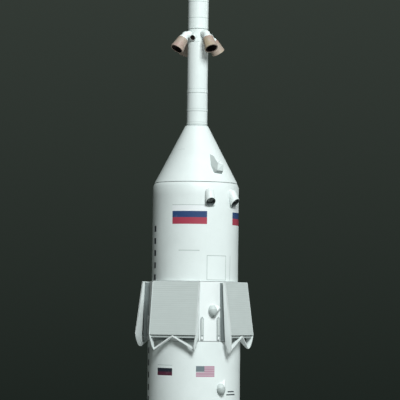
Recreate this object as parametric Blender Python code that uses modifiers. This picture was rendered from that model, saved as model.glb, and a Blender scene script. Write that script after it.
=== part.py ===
# Card scale model of a three-stage crew rocket, at 1:48, glued up and standing on its nozzle rims.
#
# Metres, +Z up. The origin is on the floor, under the axis of the core.
# An azimuth of 0 points along -Y and 90 along +X. Boosters and grid fins sit on the four axes,
# and two of the fins are a degree or two off.
# A turned piece's outline is a list of (radius, height) points that runs down its outer side.

import bpy
import bmesh
from math import cos, pi, radians, sin, tan
from mathutils import Matrix, Vector

MM = 0.001

# Play between neighbouring pieces, and how deep a fused form reaches into what carries it
GAP = 0.3 * MM
BITE = 1.0 * MM

# Card
CARD = 0.9 * MM

# Heights of the joints between the sections, from the floor
PLATE_Z = 17.4 * MM
TAIL_Z = 20.0 * MM
CORE_FLARE_Z = 262.0 * MM
BELT_Z = 400.0 * MM
NECK_Z = 418.0 * MM
CORE_TOP_Z = 548.0 * MM
LATTICE_TOP_Z = 570.0 * MM
THIRD_TOP_Z = 710.0 * MM
ADAPTER_TOP_Z = 718.0 * MM
BAND_Z = 772.0 * MM
UPPER_Z = 812.0 * MM
CONE_Z = 878.8 * MM
TOWER_Z = 918.5 * MM
COLLAR_Z = 976.0 * MM
SEAM_Z = 984.8 * MM
NOSE_Z = 1012.0 * MM
TOP_Z = 1030.8 * MM

# Radii of the sections
CORE_R = 21.35 * MM
BELT_R = 30.75 * MM
STAGE_R = 27.7 * MM
FAIRING_R = 31.5 * MM
UPPER_R = 29.4 * MM
CONE_R = 28.35 * MM
SHOULDER_H = 2.6 * MM
TOWER_ROOT_R = 8.0 * MM
TOWER_R = 7.1 * MM
NOSE_R = 4.4 * MM

# Sides of the turned pieces, by size
SIDES_LARGE = 40
SIDES_BOOSTER = 32
SIDES_TOWER = 24
SIDES_NOZZLE = 12
SIDES_SMALL = 8

# Boosters: the axis leans in, and every section stays level
BOOSTER_AZIMUTHS = (0, 90, 180, 270)
BOOSTER_R = 27.9 * MM
BOOSTER_BASE_OUT = 52.9 * MM
BOOSTER_TIP_OUT = 34.2 * MM
BOOSTER_SKIRT_Z = 85.0 * MM
BOOSTER_NOSE_Z = 325.0 * MM
BOOSTER_NECK_R = 11.9 * MM
BOOSTER_TIP_Z = 408.0 * MM
BOOSTER_TIP_R = 2.2 * MM
BOOSTER_LEAN = (BOOSTER_BASE_OUT - BOOSTER_TIP_OUT) / (BOOSTER_TIP_Z - TAIL_Z)
FIN_SPAN = 107.3 * MM
FIN_ROOT_H = 40.0 * MM
FIN_TIP_H = 14.0 * MM
FIN_FOOT = 3.0 * MM
TIE_Z = 92.0 * MM
TIE_R = 0.8 * MM

# Nozzles of the first two stages
MAIN_MOUTH_R = 7.4 * MM
MAIN_NECK_R = 3.4 * MM
MAIN_OFFSET = 11.2 * MM
VERNIER_MOUTH_R = 2.5 * MM
VERNIER_NECK_R = 1.8 * MM
VERNIER_RISE = 2.5 * MM
RIM = 1.0 * MM

# Escape nozzles: four on the collar, canted out
ESCAPE_AZIMUTHS = (-32, 58, 148, 238)
ESCAPE_CANT = radians(41)
ESCAPE_ROOT_R = 2.6 * MM
ESCAPE_THROAT_R = 3.6 * MM
ESCAPE_MOUTH_R = 4.7 * MM
ESCAPE_STUB = 5.8 * MM
ESCAPE_LENGTH = 9.0 * MM
ESCAPE_MOUTH_OUT = 17.0 * MM
ESCAPE_MOUTH_Z = SEAM_Z - 14.5 * MM

# Grid-fin trays: leaning out towards the bottom, with a gable strip underneath.
# Two of them are glued a little off their quarter.
TRAY_AZIMUTHS = (1.5, 88, 180, 270)
TRAY_HALF = 17.1 * MM
TRAY_H = 35.6 * MM
TRAY_LEAN = radians(8)
TRAY_TIP_DROP = 10.0 * MM
TRAY_TIP_OUT = 34.0 * MM
TRAY_RECESS = 4.0 * MM
TRAY_CHEEK_DEPTH = 5.4 * MM
TRAY_CORE_HALF = 13.5 * MM

# Small forms on the fairing
SCOOP_AZIMUTHS = (43, 80, 223, 260)
SCOOP_R = 3.1 * MM
SCOOP_LENGTH = 11.0 * MM
SCOOP_CANT = radians(24)
SCOOP_TOP_Z = 874.8 * MM
SCOOP_MOUTH_OUT = 3.6 * MM
PAD_AZIMUTHS = (34.5, 55.5)
PAD_HALF = 1.1 * MM
PAD_H = 15.8 * MM
PAD_THICK = 0.6 * MM
PERISCOPE_AZIMUTH = 61
PERISCOPE_Z = 884.6 * MM

# Finishes: name, colour, roughness, metallic
FINISHES = {
    "white_card": ((0.82, 0.86, 0.85), 0.55, 0.0),
    "grey_card": ((0.50, 0.54, 0.53), 0.60, 0.0),
    "green_card": ((0.26, 0.30, 0.25), 0.60, 0.0),
    "orange_card": ((0.55, 0.23, 0.08), 0.60, 0.0),
    "copper_card": ((0.48, 0.32, 0.25), 0.50, 0.2),
    "dark_card": ((0.06, 0.06, 0.06), 0.70, 0.0),
}


def clear_scene():
    """Remove what a new scene starts with."""
    for obj in list(bpy.data.objects):
        bpy.data.objects.remove(obj)


def new_collection(name):
    collection = bpy.data.collections.new(name)
    bpy.context.scene.collection.children.link(collection)
    return collection


def out_from_axis(azimuth):
    """Unit vector that points away from the axis of the rocket."""
    angle = radians(azimuth)
    return Vector((sin(angle), -cos(angle), 0))


def facing(azimuth, distance=0.0, height=0.0):
    """Frame at a distance from the axis: +X out, +Y across to the right from outside, +Z up."""
    place = Matrix.Translation(out_from_axis(azimuth) * distance + Vector((0, 0, height)))
    return place @ Matrix.Rotation(radians(azimuth) - pi / 2, 4, "Z")


def new_material(name, finish):
    colour, roughness, metallic = FINISHES[finish]
    material = bpy.data.materials.new(name)
    material.use_nodes = True
    shader = material.node_tree.nodes["Principled BSDF"]
    shader.inputs["Base Color"].default_value = (*colour, 1)
    shader.inputs["Roughness"].default_value = roughness
    shader.inputs["Metallic"].default_value = metallic
    return material


def add_piece(name, mesh, finish, place=None):
    """Add a sub-part of the rocket, with a material of its own."""
    mesh.materials.clear()
    mesh.materials.append(new_material(name + "_finish", finish))
    mesh.shade_smooth()
    mesh.set_sharp_from_angle(angle=radians(30))
    obj = bpy.data.objects.new(name, mesh)
    obj.matrix_world = place or Matrix.Identity(4)
    PARTS.objects.link(obj)
    return obj


def add_cutter(name, mesh, place=None):
    """Add a hidden shape that cuts or joins a sub-part."""
    obj = bpy.data.objects.new(name, mesh)
    obj.matrix_world = place or Matrix.Identity(4)
    obj.display_type = "WIRE"
    obj.hide_render = True
    CUTTERS.objects.link(obj)
    return obj


def add_boolean(target, cutter, operation):
    modifier = target.modifiers.new(operation.capitalize(), "BOOLEAN")
    modifier.operation = operation
    modifier.solver = "EXACT"
    modifier.object = cutter


def turned(name, outline, sides):
    """Mesh turned about Z from an outline of (radius, height) points."""
    profile = bpy.data.meshes.new(name + "_profile")
    points = [(radius, 0, height) for radius, height in outline]
    profile.from_pydata(points, [(i, i + 1) for i in range(len(points) - 1)], [])
    lathe = bpy.data.objects.new(name + "_lathe", profile)
    bpy.context.scene.collection.objects.link(lathe)
    screw = lathe.modifiers.new("Turn", "SCREW")
    screw.steps = sides
    screw.render_steps = sides
    screw.use_merge_vertices = True
    screw.merge_threshold = 0.000001
    depsgraph = bpy.context.evaluated_depsgraph_get()
    mesh = bpy.data.meshes.new_from_object(lathe.evaluated_get(depsgraph))
    mesh.name = name
    bpy.data.objects.remove(lathe)
    return mesh


def prism(name, outline, back, front):
    """Mesh of an outline of (across, height) points, from one distance out to another."""
    shape = bpy.data.curves.new(name + "_outline", "CURVE")
    shape.dimensions = "2D"
    shape.fill_mode = "BOTH"
    shape.extrude = (front - back) / 2
    spline = shape.splines.new("POLY")
    spline.points.add(len(outline) - 1)
    for point, (across, height) in zip(spline.points, outline):
        point.co = (across, height, 0, 1)
    spline.use_cyclic_u = True
    sheet = bpy.data.objects.new(name + "_sheet", shape)
    bpy.context.scene.collection.objects.link(sheet)
    depsgraph = bpy.context.evaluated_depsgraph_get()
    mesh = bpy.data.meshes.new_from_object(sheet.evaluated_get(depsgraph))
    bpy.data.objects.remove(sheet)
    solid = bmesh.new()
    solid.from_mesh(mesh)
    bmesh.ops.remove_doubles(solid, verts=solid.verts, dist=0.000001)
    upright = Matrix(((0, 0, 1, (front + back) / 2), (1, 0, 0, 0), (0, 1, 0, 0), (0, 0, 0, 1)))
    bmesh.ops.transform(solid, matrix=upright, verts=solid.verts)
    bmesh.ops.recalc_face_normals(solid, faces=solid.faces)
    solid.to_mesh(mesh)
    solid.free()
    mesh.name = name
    return mesh


def gathered(name, copies):
    """One mesh of several copies, each a pair of a mesh and its place."""
    shell = bmesh.new()
    for mesh, place in copies:
        first = len(shell.verts)
        shell.from_mesh(mesh)
        shell.verts.ensure_lookup_table()
        bmesh.ops.transform(shell, matrix=place, verts=shell.verts[first:])
    mesh = bpy.data.meshes.new(name)
    shell.to_mesh(mesh)
    shell.free()
    return mesh


def rod(name, start, end, radius, sides):
    """Mesh of a round bar between two points."""
    span = end - start
    bar = bmesh.new()
    bmesh.ops.create_cone(
        bar, cap_ends=True, segments=sides, radius1=radius, radius2=radius, depth=span.length
    )
    turn = Vector((0, 0, 1)).rotation_difference(span).to_matrix().to_4x4()
    bmesh.ops.transform(bar, matrix=Matrix.Translation((start + end) / 2) @ turn, verts=bar.verts)
    mesh = bpy.data.meshes.new(name)
    bar.to_mesh(mesh)
    bar.free()
    return mesh


def drum(name, levels, sides):
    """Solid of revolution through (radius, height) levels, closed flat at both ends."""
    return turned(name, [(0, levels[0][1]), *levels, (0, levels[-1][1])], sides)


# Escape tower


def make_tower():
    """Tube, collar with four pitch nozzles, upper tube and nose of the escape tower."""
    nose = [
        (0, TOP_Z),
        (0.8 * MM, TOP_Z - 0.6 * MM),
        (NOSE_R * 0.55, TOP_Z - 6.0 * MM),
        (NOSE_R, TOP_Z - 9.5 * MM),
        (TOWER_R, NOSE_Z + GAP),
        (0, NOSE_Z + GAP),
    ]
    add_piece("tower_nose", turned("tower_nose", nose, SIDES_TOWER), "white_card")
    upper = [(TOWER_R, NOSE_Z), (TOWER_R, SEAM_Z + GAP)]
    add_piece("tower_upper", drum("tower_upper", upper, SIDES_TOWER), "white_card")
    lower = [(TOWER_R, COLLAR_Z), (TOWER_R, TOWER_Z + GAP)]
    add_piece("tower_lower", drum("tower_lower", lower, SIDES_TOWER), "white_card")

    collar = [(TOWER_R, SEAM_Z), (TOWER_R, COLLAR_Z + GAP)]
    collar_piece = add_piece(
        "escape_collar", drum("escape_collar", collar, SIDES_TOWER), "white_card"
    )
    # The pitch nozzles are short cups that point out and a little down
    cup = [
        (0, 3.6 * MM),
        (1.9 * MM, 3.6 * MM),
        (2.1 * MM, 0),
        (1.6 * MM, 0),
        (1.6 * MM, 1.6 * MM),
        (0, 1.6 * MM),
    ]
    cup_mesh = turned("pitch_nozzle", cup, SIDES_SMALL)
    tilt = Matrix.Rotation(radians(-65), 4, "Y")
    reach = TOWER_R + 1.5 * MM
    places = [facing(azimuth, reach, SEAM_Z - 6.4 * MM) @ tilt for azimuth in BOOSTER_AZIMUTHS]
    cups = gathered("pitch_nozzles", [(cup_mesh, place) for place in places])
    add_boolean(collar_piece, add_cutter("pitch_nozzles", cups), "UNION")


def make_escape_nozzles():
    """Four canted nozzles, each a stub and a flared cup, cut to sit on the collar."""
    bore = ESCAPE_THROAT_R - 0.6 * MM
    total = ESCAPE_STUB + ESCAPE_LENGTH
    outline = [
        (0, total),
        (ESCAPE_ROOT_R, total),
        (ESCAPE_ROOT_R + 0.2 * MM, ESCAPE_LENGTH),
        (ESCAPE_THROAT_R, ESCAPE_LENGTH),
        (ESCAPE_MOUTH_R, 0),
        (ESCAPE_MOUTH_R - 0.6 * MM, 0),
        (bore, ESCAPE_LENGTH - 1.0 * MM),
        (0, ESCAPE_LENGTH - 1.0 * MM),
    ]
    tube = [(TOWER_R + GAP, SEAM_Z + 20 * MM), (TOWER_R + GAP, COLLAR_Z - 20 * MM)]
    core = add_cutter("tower_core", drum("tower_core", tube, SIDES_TOWER))
    for number, azimuth in enumerate(ESCAPE_AZIMUTHS, start=1):
        tilt = Matrix.Rotation(-ESCAPE_CANT, 4, "Y")
        nozzle = add_piece(
            f"escape_nozzle_{number}",
            turned("escape_nozzle", outline, SIDES_NOZZLE),
            "copper_card",
            facing(azimuth, ESCAPE_MOUTH_OUT, ESCAPE_MOUTH_Z) @ tilt,
        )
        add_boolean(nozzle, core, "DIFFERENCE")


# Fairing


def make_cone():
    """Cone between the fairing and the tower, with the periscope cover on it."""
    cone = [(TOWER_ROOT_R, TOWER_Z), (CONE_R, CONE_Z + GAP)]
    add_piece("fairing_cone", drum("fairing_cone", cone, SIDES_LARGE), "white_card")
    # The cover's outlines above its foot, in mm: (across, height) and (proud, height)
    front = (
        (-3.3, 0),
        (3.3, 0),
        (4.0, 4.6),
        (2.6, 9.6),
        (0.2, 14.6),
        (-1.6, 14.2),
        (-3.7, 5.0),
    )
    side = ((3.2, 0), (4.9, 4.6), (0.6, 14.6))
    slope = (CONE_R - TOWER_ROOT_R) / (TOWER_Z - CONE_Z)
    inner = 12 * MM
    outer = 40 * MM
    outline = [(across * MM, PERISCOPE_Z + height * MM) for across, height in front]
    place = facing(PERISCOPE_AZIMUTH)
    cover = add_piece(
        "periscope_cover", prism("periscope_cover", outline, inner, outer), "white_card", place
    )
    ridge = [(inner, PERISCOPE_Z - MM), (inner, PERISCOPE_Z + 16 * MM)]
    for proud, height in reversed(side):
        level = PERISCOPE_Z + height * MM
        ridge.append((CONE_R - slope * (level - CONE_Z) + proud * MM, level))
    ridge.insert(2, (ridge[2][0] - slope * MM, PERISCOPE_Z + 16 * MM))
    ridge.append((ridge[-1][0], PERISCOPE_Z - MM))
    wedge = add_cutter("cover_side", slab("cover_side", ridge, 8 * MM), place)
    add_boolean(cover, wedge, "INTERSECT")
    reach = 20 * MM
    play = GAP * 1.3
    cut = [
        (TOWER_ROOT_R + play, TOWER_Z),
        (CONE_R + play + slope * reach, CONE_Z - reach),
    ]
    add_boolean(cover, add_cutter("cone_core", drum("cone_core", cut, SIDES_LARGE)), "DIFFERENCE")


def make_upper_fairing():
    """Cylinder of the fairing with its narrow shoulder, and the canted scoops near its top."""
    upper = [
        (CONE_R, CONE_Z),
        (UPPER_R, CONE_Z - SHOULDER_H),
        (UPPER_R, UPPER_Z + GAP),
    ]
    add_piece("fairing_upper", drum("fairing_upper", upper, SIDES_LARGE), "white_card")
    outline = [
        (0, SCOOP_LENGTH),
        (SCOOP_R * 0.8, SCOOP_LENGTH),
        (SCOOP_R, SCOOP_LENGTH - 0.8 * MM),
        (SCOOP_R, 0),
        (SCOOP_R - 0.6 * MM, 0),
        (SCOOP_R - 0.6 * MM, 5 * MM),
        (0, 5 * MM),
    ]
    tube = [(UPPER_R + GAP, CONE_Z + 20 * MM), (UPPER_R + GAP, UPPER_Z)]
    core = add_cutter("upper_core", drum("upper_core", tube, SIDES_LARGE))
    for number, azimuth in enumerate(SCOOP_AZIMUTHS, start=1):
        tilt = Matrix.Rotation(-SCOOP_CANT, 4, "Y")
        mouth = facing(azimuth, UPPER_R + SCOOP_MOUTH_OUT, SCOOP_TOP_Z - SCOOP_LENGTH)
        scoop = add_piece(
            f"scoop_{number}",
            turned("scoop", outline, SIDES_NOZZLE),
            "white_card",
            mouth @ tilt,
        )
        add_boolean(scoop, core, "DIFFERENCE")


def make_band():
    """Band behind the grid fins, with a pair of pads in each of its four open quarters."""
    band_r = 30.8 * MM
    band = [(band_r, UPPER_Z), (FAIRING_R, BAND_Z + GAP)]
    body = add_piece("fin_band", drum("fin_band", band, SIDES_LARGE), "white_card")
    low = BAND_Z + 1.0 * MM
    outline = [
        (-PAD_HALF, low),
        (PAD_HALF, low),
        (PAD_HALF, low + PAD_H - PAD_HALF * 1.5),
        (0, low + PAD_H),
        (-PAD_HALF, low + PAD_H - PAD_HALF * 1.5),
    ]
    pad = prism("pad", outline, FAIRING_R - BITE, FAIRING_R + PAD_THICK)
    azimuths = [quarter + own for quarter in BOOSTER_AZIMUTHS for own in PAD_AZIMUTHS]
    pads = gathered("pads", [(pad, facing(azimuth)) for azimuth in azimuths])
    add_boolean(body, add_cutter("pads", pads), "UNION")


def make_trays():
    """Four folded grid-fin trays, open underneath above a gable strip."""
    low = UPPER_Z - TRAY_H
    tip = low - TRAY_TIP_DROP
    inset = 1.2 * MM
    outline = [
        (-TRAY_HALF, UPPER_Z),
        (-TRAY_HALF, low - 4 * MM),
        (-TRAY_HALF + inset, tip),
        (0, low),
        (TRAY_HALF - inset, tip),
        (TRAY_HALF, low - 4 * MM),
        (TRAY_HALF, UPPER_Z),
    ]
    strip = 1.3 * MM
    wall = TRAY_HALF - 1.1 * MM
    rise = TRAY_TIP_DROP / (TRAY_HALF - inset)
    start = strip / rise
    # Behind the panel, and open below its lower edge: (across, height) outlines
    top = low + TRAY_RECESS
    recess = [(start, low - GAP), (wall, low - GAP), (wall, top), (start, top)]
    mouth = [(start, low), (wall, low - wall * rise + strip), (wall, low)]
    tube = [(FAIRING_R + GAP, UPPER_Z + 5 * MM), (FAIRING_R + GAP, tip - 5 * MM)]
    core = add_cutter("band_core", drum("band_core", tube, SIDES_LARGE))
    # The outer face is one plane that leans out down to the panel's lower edge
    back = 22 * MM
    front = 50 * MM
    spread = tan(TRAY_LEAN)
    low_out = FAIRING_R + TRAY_H * spread
    outer_side = [
        (FAIRING_R - spread * MM, UPPER_Z + MM),
        (low_out, low),
        (TRAY_TIP_OUT, tip - MM),
        (front + MM, tip - MM),
        (front + MM, UPPER_Z + MM),
    ]
    # Behind the cheeks the tray is narrower and stands on the band
    notch = [
        (back - MM, UPPER_Z + MM),
        (FAIRING_R - TRAY_CHEEK_DEPTH, UPPER_Z + MM),
        (low_out - TRAY_CHEEK_DEPTH, low),
        (TRAY_TIP_OUT - TRAY_CHEEK_DEPTH + MM, tip - MM),
        (back - MM, tip - MM),
    ]
    notch_half = (TRAY_HALF + MM - TRAY_CORE_HALF) / 2
    panel_back = low_out - TRAY_RECESS * spread - CARD
    for number, azimuth in enumerate(TRAY_AZIMUTHS, start=1):
        place = facing(azimuth)
        tray = add_piece(
            f"fin_tray_{number}",
            prism("fin_tray", outline, back, front),
            "grey_card",
            place,
        )
        beyond = slab("tray_front", outer_side, TRAY_HALF + MM)
        add_boolean(tray, add_cutter(f"tray_front_{number}", beyond, place), "DIFFERENCE")
        add_boolean(tray, core, "DIFFERENCE")
        # name, (across, height) outline, distance out at the back and at the front
        hollows = (
            ("recess", recess, back - MM, panel_back),
            ("mouth", mouth, back - MM, front),
        )
        for hollow, shape, near, far in hollows:
            halves = []
            for mirror in (1, -1):
                points = [(mirror * across, height) for across, height in shape]
                halves.append((prism(hollow, points, near, far), Matrix.Identity(4)))
            cutter = add_cutter(f"{hollow}_{number}", gathered(hollow, halves), place)
            add_boolean(tray, cutter, "DIFFERENCE")
        notch_mesh = slab("tray_notch", notch, notch_half)
        shift = TRAY_CORE_HALF + notch_half
        sides = [(notch_mesh, Matrix.Translation((0, mirror * shift, 0))) for mirror in (1, -1)]
        notches = add_cutter(f"tray_notches_{number}", gathered("tray_notches", sides), place)
        add_boolean(tray, notches, "DIFFERENCE")


def slab(name, outline, half):
    """Mesh of an outline of (out, height) points, half its width to each side."""
    flat = prism(name, outline, -half, half)
    flat.transform(Matrix.Rotation(-pi / 2, 4, "Z"))
    return flat


def make_lower_fairing():
    """Lower fairing and the taper that joins it to the third stage."""
    lower = [(FAIRING_R, BAND_Z), (FAIRING_R, ADAPTER_TOP_Z + GAP)]
    add_piece("fairing_lower", drum("fairing_lower", lower, SIDES_LARGE), "white_card")
    taper = [(FAIRING_R, ADAPTER_TOP_Z), (STAGE_R, THIRD_TOP_Z + GAP)]
    add_piece("fairing_adapter", drum("fairing_adapter", taper, SIDES_LARGE), "white_card")


def make_thrusters():
    """Short canted cups with a pointed foot, on the band and on the lower fairing."""
    outline = [
        (0, 9.2 * MM),
        (2.6 * MM, 9.2 * MM),
        (3.7 * MM, 4.2 * MM),
        (1.5 * MM, 0),
        (0, 0),
    ]
    tube = [(FAIRING_R + GAP, UPPER_Z), (FAIRING_R + GAP, ADAPTER_TOP_Z)]
    core = add_cutter("fairing_core", drum("fairing_core", tube, SIDES_LARGE))
    # name, azimuth, height of the foot
    rows = (
        ("band_thruster_1", 49, 789 * MM),
        ("band_thruster_2", 229, 789 * MM),
        ("fairing_thruster_1", 61, 737 * MM),
        ("fairing_thruster_2", 241, 737 * MM),
    )
    tilt = Matrix.Rotation(-SCOOP_CANT, 4, "Y")
    for name, azimuth, height in rows:
        place = facing(azimuth, FAIRING_R + 1.9 * MM, height) @ tilt
        thruster = add_piece(name, turned("thruster", outline, SIDES_NOZZLE), "white_card", place)
        add_boolean(thruster, core, "DIFFERENCE")


# Third stage and the lattice below it


def bell(name, mouth_r, neck_r, rim_z, top_z, sides):
    """Hollow nozzle with its rim down."""
    height = top_z - rim_z
    outline = [
        (0, top_z),
        (neck_r, top_z),
        (neck_r, rim_z + height * 0.80),
        (mouth_r * 0.86, rim_z + height * 0.36),
        (mouth_r, rim_z),
        (mouth_r - RIM, rim_z),
        (mouth_r * 0.86 - RIM, rim_z + height * 0.34),
        (neck_r * 0.55, rim_z + height * 0.70),
        (0, rim_z + height * 0.70),
    ]
    return turned(name, outline, sides)


def make_third_stage():
    """Third stage with its cable duct and the engine that hangs into the lattice."""
    levels = [(STAGE_R, THIRD_TOP_Z), (STAGE_R, LATTICE_TOP_Z + GAP)]
    add_piece("third_stage", drum("third_stage", levels, SIDES_LARGE), "green_card")
    half = 2.0 * MM
    low = LATTICE_TOP_Z + 6 * MM
    high = THIRD_TOP_Z - 6 * MM
    duct = [(-half, low), (half, low), (half, high), (-half, high)]
    add_piece(
        "third_stage_duct",
        prism("third_stage_duct", duct, STAGE_R + GAP, STAGE_R + 2.4 * MM),
        "green_card",
        facing(135),
    )
    plate_low = LATTICE_TOP_Z - 2.4 * MM
    rim = CORE_TOP_Z + 4.5 * MM
    plate = add_piece(
        "third_stage_engine",
        drum("third_stage_engine", [(20.5 * MM, LATTICE_TOP_Z), (20.5 * MM, plate_low)], 24),
        "dark_card",
    )
    main = bell("third_main", 5.4 * MM, 2.4 * MM, rim, plate_low + BITE, 12)
    places = [facing(azimuth, 8.4 * MM) for azimuth in (45, 135, 225, 315)]
    mains = gathered("third_mains", [(main, place) for place in places])
    add_boolean(plate, add_cutter("third_mains", mains), "UNION")


def lattice_ring(name, base, ring_r, half):
    """Flat-sided ring of the truss, standing on a height."""
    outline = [
        (ring_r + half, base + 2 * half),
        (ring_r + half, base),
        (ring_r - half, base),
        (ring_r - half, base + 2 * half),
        (ring_r + half, base + 2 * half),
    ]
    return turned(name, outline, 32)


def make_lattice():
    """Open truss between core and third stage: two rings and a zigzag of bars."""
    ring_r = 26.6 * MM
    half = 0.9 * MM
    low = CORE_TOP_Z + GAP
    high = LATTICE_TOP_Z - 2 * half
    bay_angle = 30
    foot_ring = lattice_ring("lattice_foot", low, ring_r, half)
    truss = add_piece("lattice_interstage", foot_ring, "grey_card")
    bars = []
    for bay in range(360 // bay_angle):
        for side in (-1, 1):
            foot = out_from_axis(bay_angle * bay + 3 * side) * ring_r
            head = out_from_axis(bay_angle * bay + 12 * side) * ring_r
            foot.z = low + half
            head.z = high + half
            bars.append((rod("lattice_bar", foot, head, 0.6 * MM, 6), Matrix.Identity(4)))
    add_boolean(truss, add_cutter("lattice_bars", gathered("lattice_bars", bars)), "UNION")
    top = add_cutter("lattice_head", lattice_ring("lattice_head", high, ring_r, half))
    add_boolean(truss, top, "UNION")


# Core


def tie_bars():
    """Two short bars to each booster, from the core's side to just short of the booster's."""
    centre_out = BOOSTER_BASE_OUT - BOOSTER_LEAN * (TIE_Z - TAIL_Z)
    bars = []
    for azimuth in BOOSTER_AZIMUTHS:
        for side in (-1, 1):
            root = out_from_axis(azimuth + 30 * side) * (CORE_R - BITE)
            root.z = TIE_Z
            # The far end lies on the booster's side that is turned to the core
            turn = radians(145) * side
            reach = BOOSTER_R + GAP
            place = facing(azimuth, centre_out, TIE_Z)
            end = place @ Vector((reach * cos(turn), reach * sin(turn), 0))
            bars.append((rod("booster_tie", root, end, TIE_R, SIDES_SMALL), Matrix.Identity(4)))
    return bars


def make_core():
    """Core in three lengths with two cable ducts; the middle one carries the booster sockets."""
    upper = [(STAGE_R, CORE_TOP_Z), (BELT_R, NECK_Z + GAP)]
    add_piece("core_upper", drum("core_upper", upper, SIDES_LARGE), "green_card")
    flare = [(BELT_R, BELT_Z), (CORE_R, CORE_FLARE_Z + GAP)]
    add_piece("core_flare", drum("core_flare", flare, SIDES_LARGE), "green_card")
    lower = [(CORE_R, CORE_FLARE_Z), (CORE_R, TAIL_Z + GAP)]
    lower_piece = add_piece("core_lower", drum("core_lower", lower, SIDES_LARGE), "green_card")
    ties = add_cutter("booster_ties", gathered("booster_ties", tie_bars()))
    add_boolean(lower_piece, ties, "UNION")

    belt = [(BELT_R, NECK_Z), (BELT_R, BELT_Z + GAP)]
    belt_piece = add_piece("core_belt", drum("core_belt", belt, SIDES_LARGE), "grey_card")
    half = 2.6 * MM
    low = BOOSTER_TIP_Z + GAP
    shoulder = low + 4 * MM
    peak = low + 8 * MM
    socket = [(-half, low), (half, low), (half, shoulder), (0, peak), (-half, shoulder)]
    out = BOOSTER_TIP_OUT + 2.6 * MM
    socket_mesh = prism("booster_socket", socket, BELT_R - BITE, out)
    places = [facing(azimuth) for azimuth in BOOSTER_AZIMUTHS]
    sockets = gathered("booster_sockets", [(socket_mesh, place) for place in places])
    add_boolean(belt_piece, add_cutter("booster_sockets", sockets), "UNION")

    width = 1.6 * MM
    low = TIE_Z + 6 * MM
    high = CORE_FLARE_Z - 6 * MM
    duct = [(-width, low), (width, low), (width, high), (-width, high)]
    for number, azimuth in enumerate((45, 225), start=1):
        add_piece(
            f"core_duct_{number}",
            prism("core_duct", duct, CORE_R + GAP, CORE_R + 2.2 * MM),
            "green_card",
            facing(azimuth),
        )


def make_engine(name, plate_r, place, verniers, finish):
    """Tail plate with four main nozzles and a row of vernier places, all in one piece."""
    plate = add_piece(
        name, drum(name, [(plate_r, TAIL_Z), (plate_r, PLATE_Z)], 32), finish, place
    )
    top = PLATE_Z + BITE
    main = bell(name + "_main", MAIN_MOUTH_R, MAIN_NECK_R, 0, top, SIDES_NOZZLE)
    vernier = bell(
        name + "_vernier", VERNIER_MOUTH_R, VERNIER_NECK_R, VERNIER_RISE, top, SIDES_SMALL
    )
    copies = [(main, facing(azimuth, MAIN_OFFSET)) for azimuth in (45, 135, 225, 315)]
    copies += [(vernier, Matrix.Translation((out, left, 0))) for out, left in verniers]
    cutter = add_cutter(name + "_nozzles", gathered(name + "_nozzles", copies), place)
    add_boolean(plate, cutter, "UNION")


# Boosters


def leaned(mesh):
    """Slide every level of a booster's mesh inwards as it rises."""
    slide = Matrix.Identity(4)
    slide[0][2] = -BOOSTER_LEAN
    slide[0][3] = BOOSTER_BASE_OUT + BOOSTER_LEAN * TAIL_Z
    mesh.transform(slide)
    return mesh


def make_booster(number, azimuth):
    """Skirt, tapered body, nose, engine and fin of one booster."""
    place = facing(azimuth)
    nose = [
        (0, BOOSTER_TIP_Z),
        (BOOSTER_TIP_R * 0.7, BOOSTER_TIP_Z - 0.6 * MM),
        (BOOSTER_TIP_R, BOOSTER_TIP_Z - 2.4 * MM),
        (BOOSTER_NECK_R, BOOSTER_NOSE_Z + GAP),
        (0, BOOSTER_NOSE_Z + GAP),
    ]
    body = [(BOOSTER_NECK_R, BOOSTER_NOSE_Z), (BOOSTER_R, BOOSTER_SKIRT_Z + GAP)]
    skirt = [(BOOSTER_R, BOOSTER_SKIRT_Z), (BOOSTER_R, TAIL_Z + GAP)]
    name = f"booster_{number}"
    # length, its mesh, its finish
    lengths = (
        ("_nose", turned(name + "_nose", nose, SIDES_BOOSTER), "white_card"),
        ("_body", drum(name + "_body", body, SIDES_BOOSTER), "green_card"),
        ("_skirt", drum(name + "_skirt", skirt, SIDES_BOOSTER), "orange_card"),
    )
    for length, mesh, finish in lengths:
        add_piece(name + length, leaned(mesh), finish, place)
    outer = BOOSTER_BASE_OUT + BOOSTER_R + GAP
    root = TAIL_Z + FIN_FOOT
    fin = [
        (outer, root),
        (FIN_SPAN, root),
        (FIN_SPAN, root + FIN_TIP_H),
        (outer - BOOSTER_LEAN * (FIN_ROOT_H + FIN_FOOT), root + FIN_ROOT_H),
    ]
    add_piece(name + "_fin", slab(name + "_fin", fin, CARD), "grey_card", place)
    verniers = ((20.0 * MM, 8.0 * MM), (20.0 * MM, -8.0 * MM))
    engine_place = facing(azimuth, BOOSTER_BASE_OUT)
    make_engine(name + "_engine", 26.0 * MM, engine_place, verniers, "copper_card")


def main():
    make_tower()
    make_escape_nozzles()
    make_cone()
    make_upper_fairing()
    make_band()
    make_trays()
    make_lower_fairing()
    make_thrusters()
    make_third_stage()
    make_lattice()
    make_core()
    vernier_out = 17.6 * MM
    sides = ((vernier_out, 0), (0, vernier_out), (-vernier_out, 0), (0, -vernier_out))
    make_engine("core_engine", 20.8 * MM, Matrix.Identity(4), sides, "copper_card")
    for number, azimuth in enumerate(BOOSTER_AZIMUTHS, start=1):
        make_booster(number, azimuth)


clear_scene()
PARTS = new_collection("crew_rocket_model")
CUTTERS = new_collection("cutters")
main()
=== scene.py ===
"""Looks of the card model of a crew rocket: card shells, printed panels, folded grid fins and studio."""

from math import atan2, ceil, cos, degrees, hypot, pi, radians, sin, tan

import bmesh
import bpy
from bpy.props import FloatProperty, FloatVectorProperty, PointerProperty
from mathutils import Matrix, Vector


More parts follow.
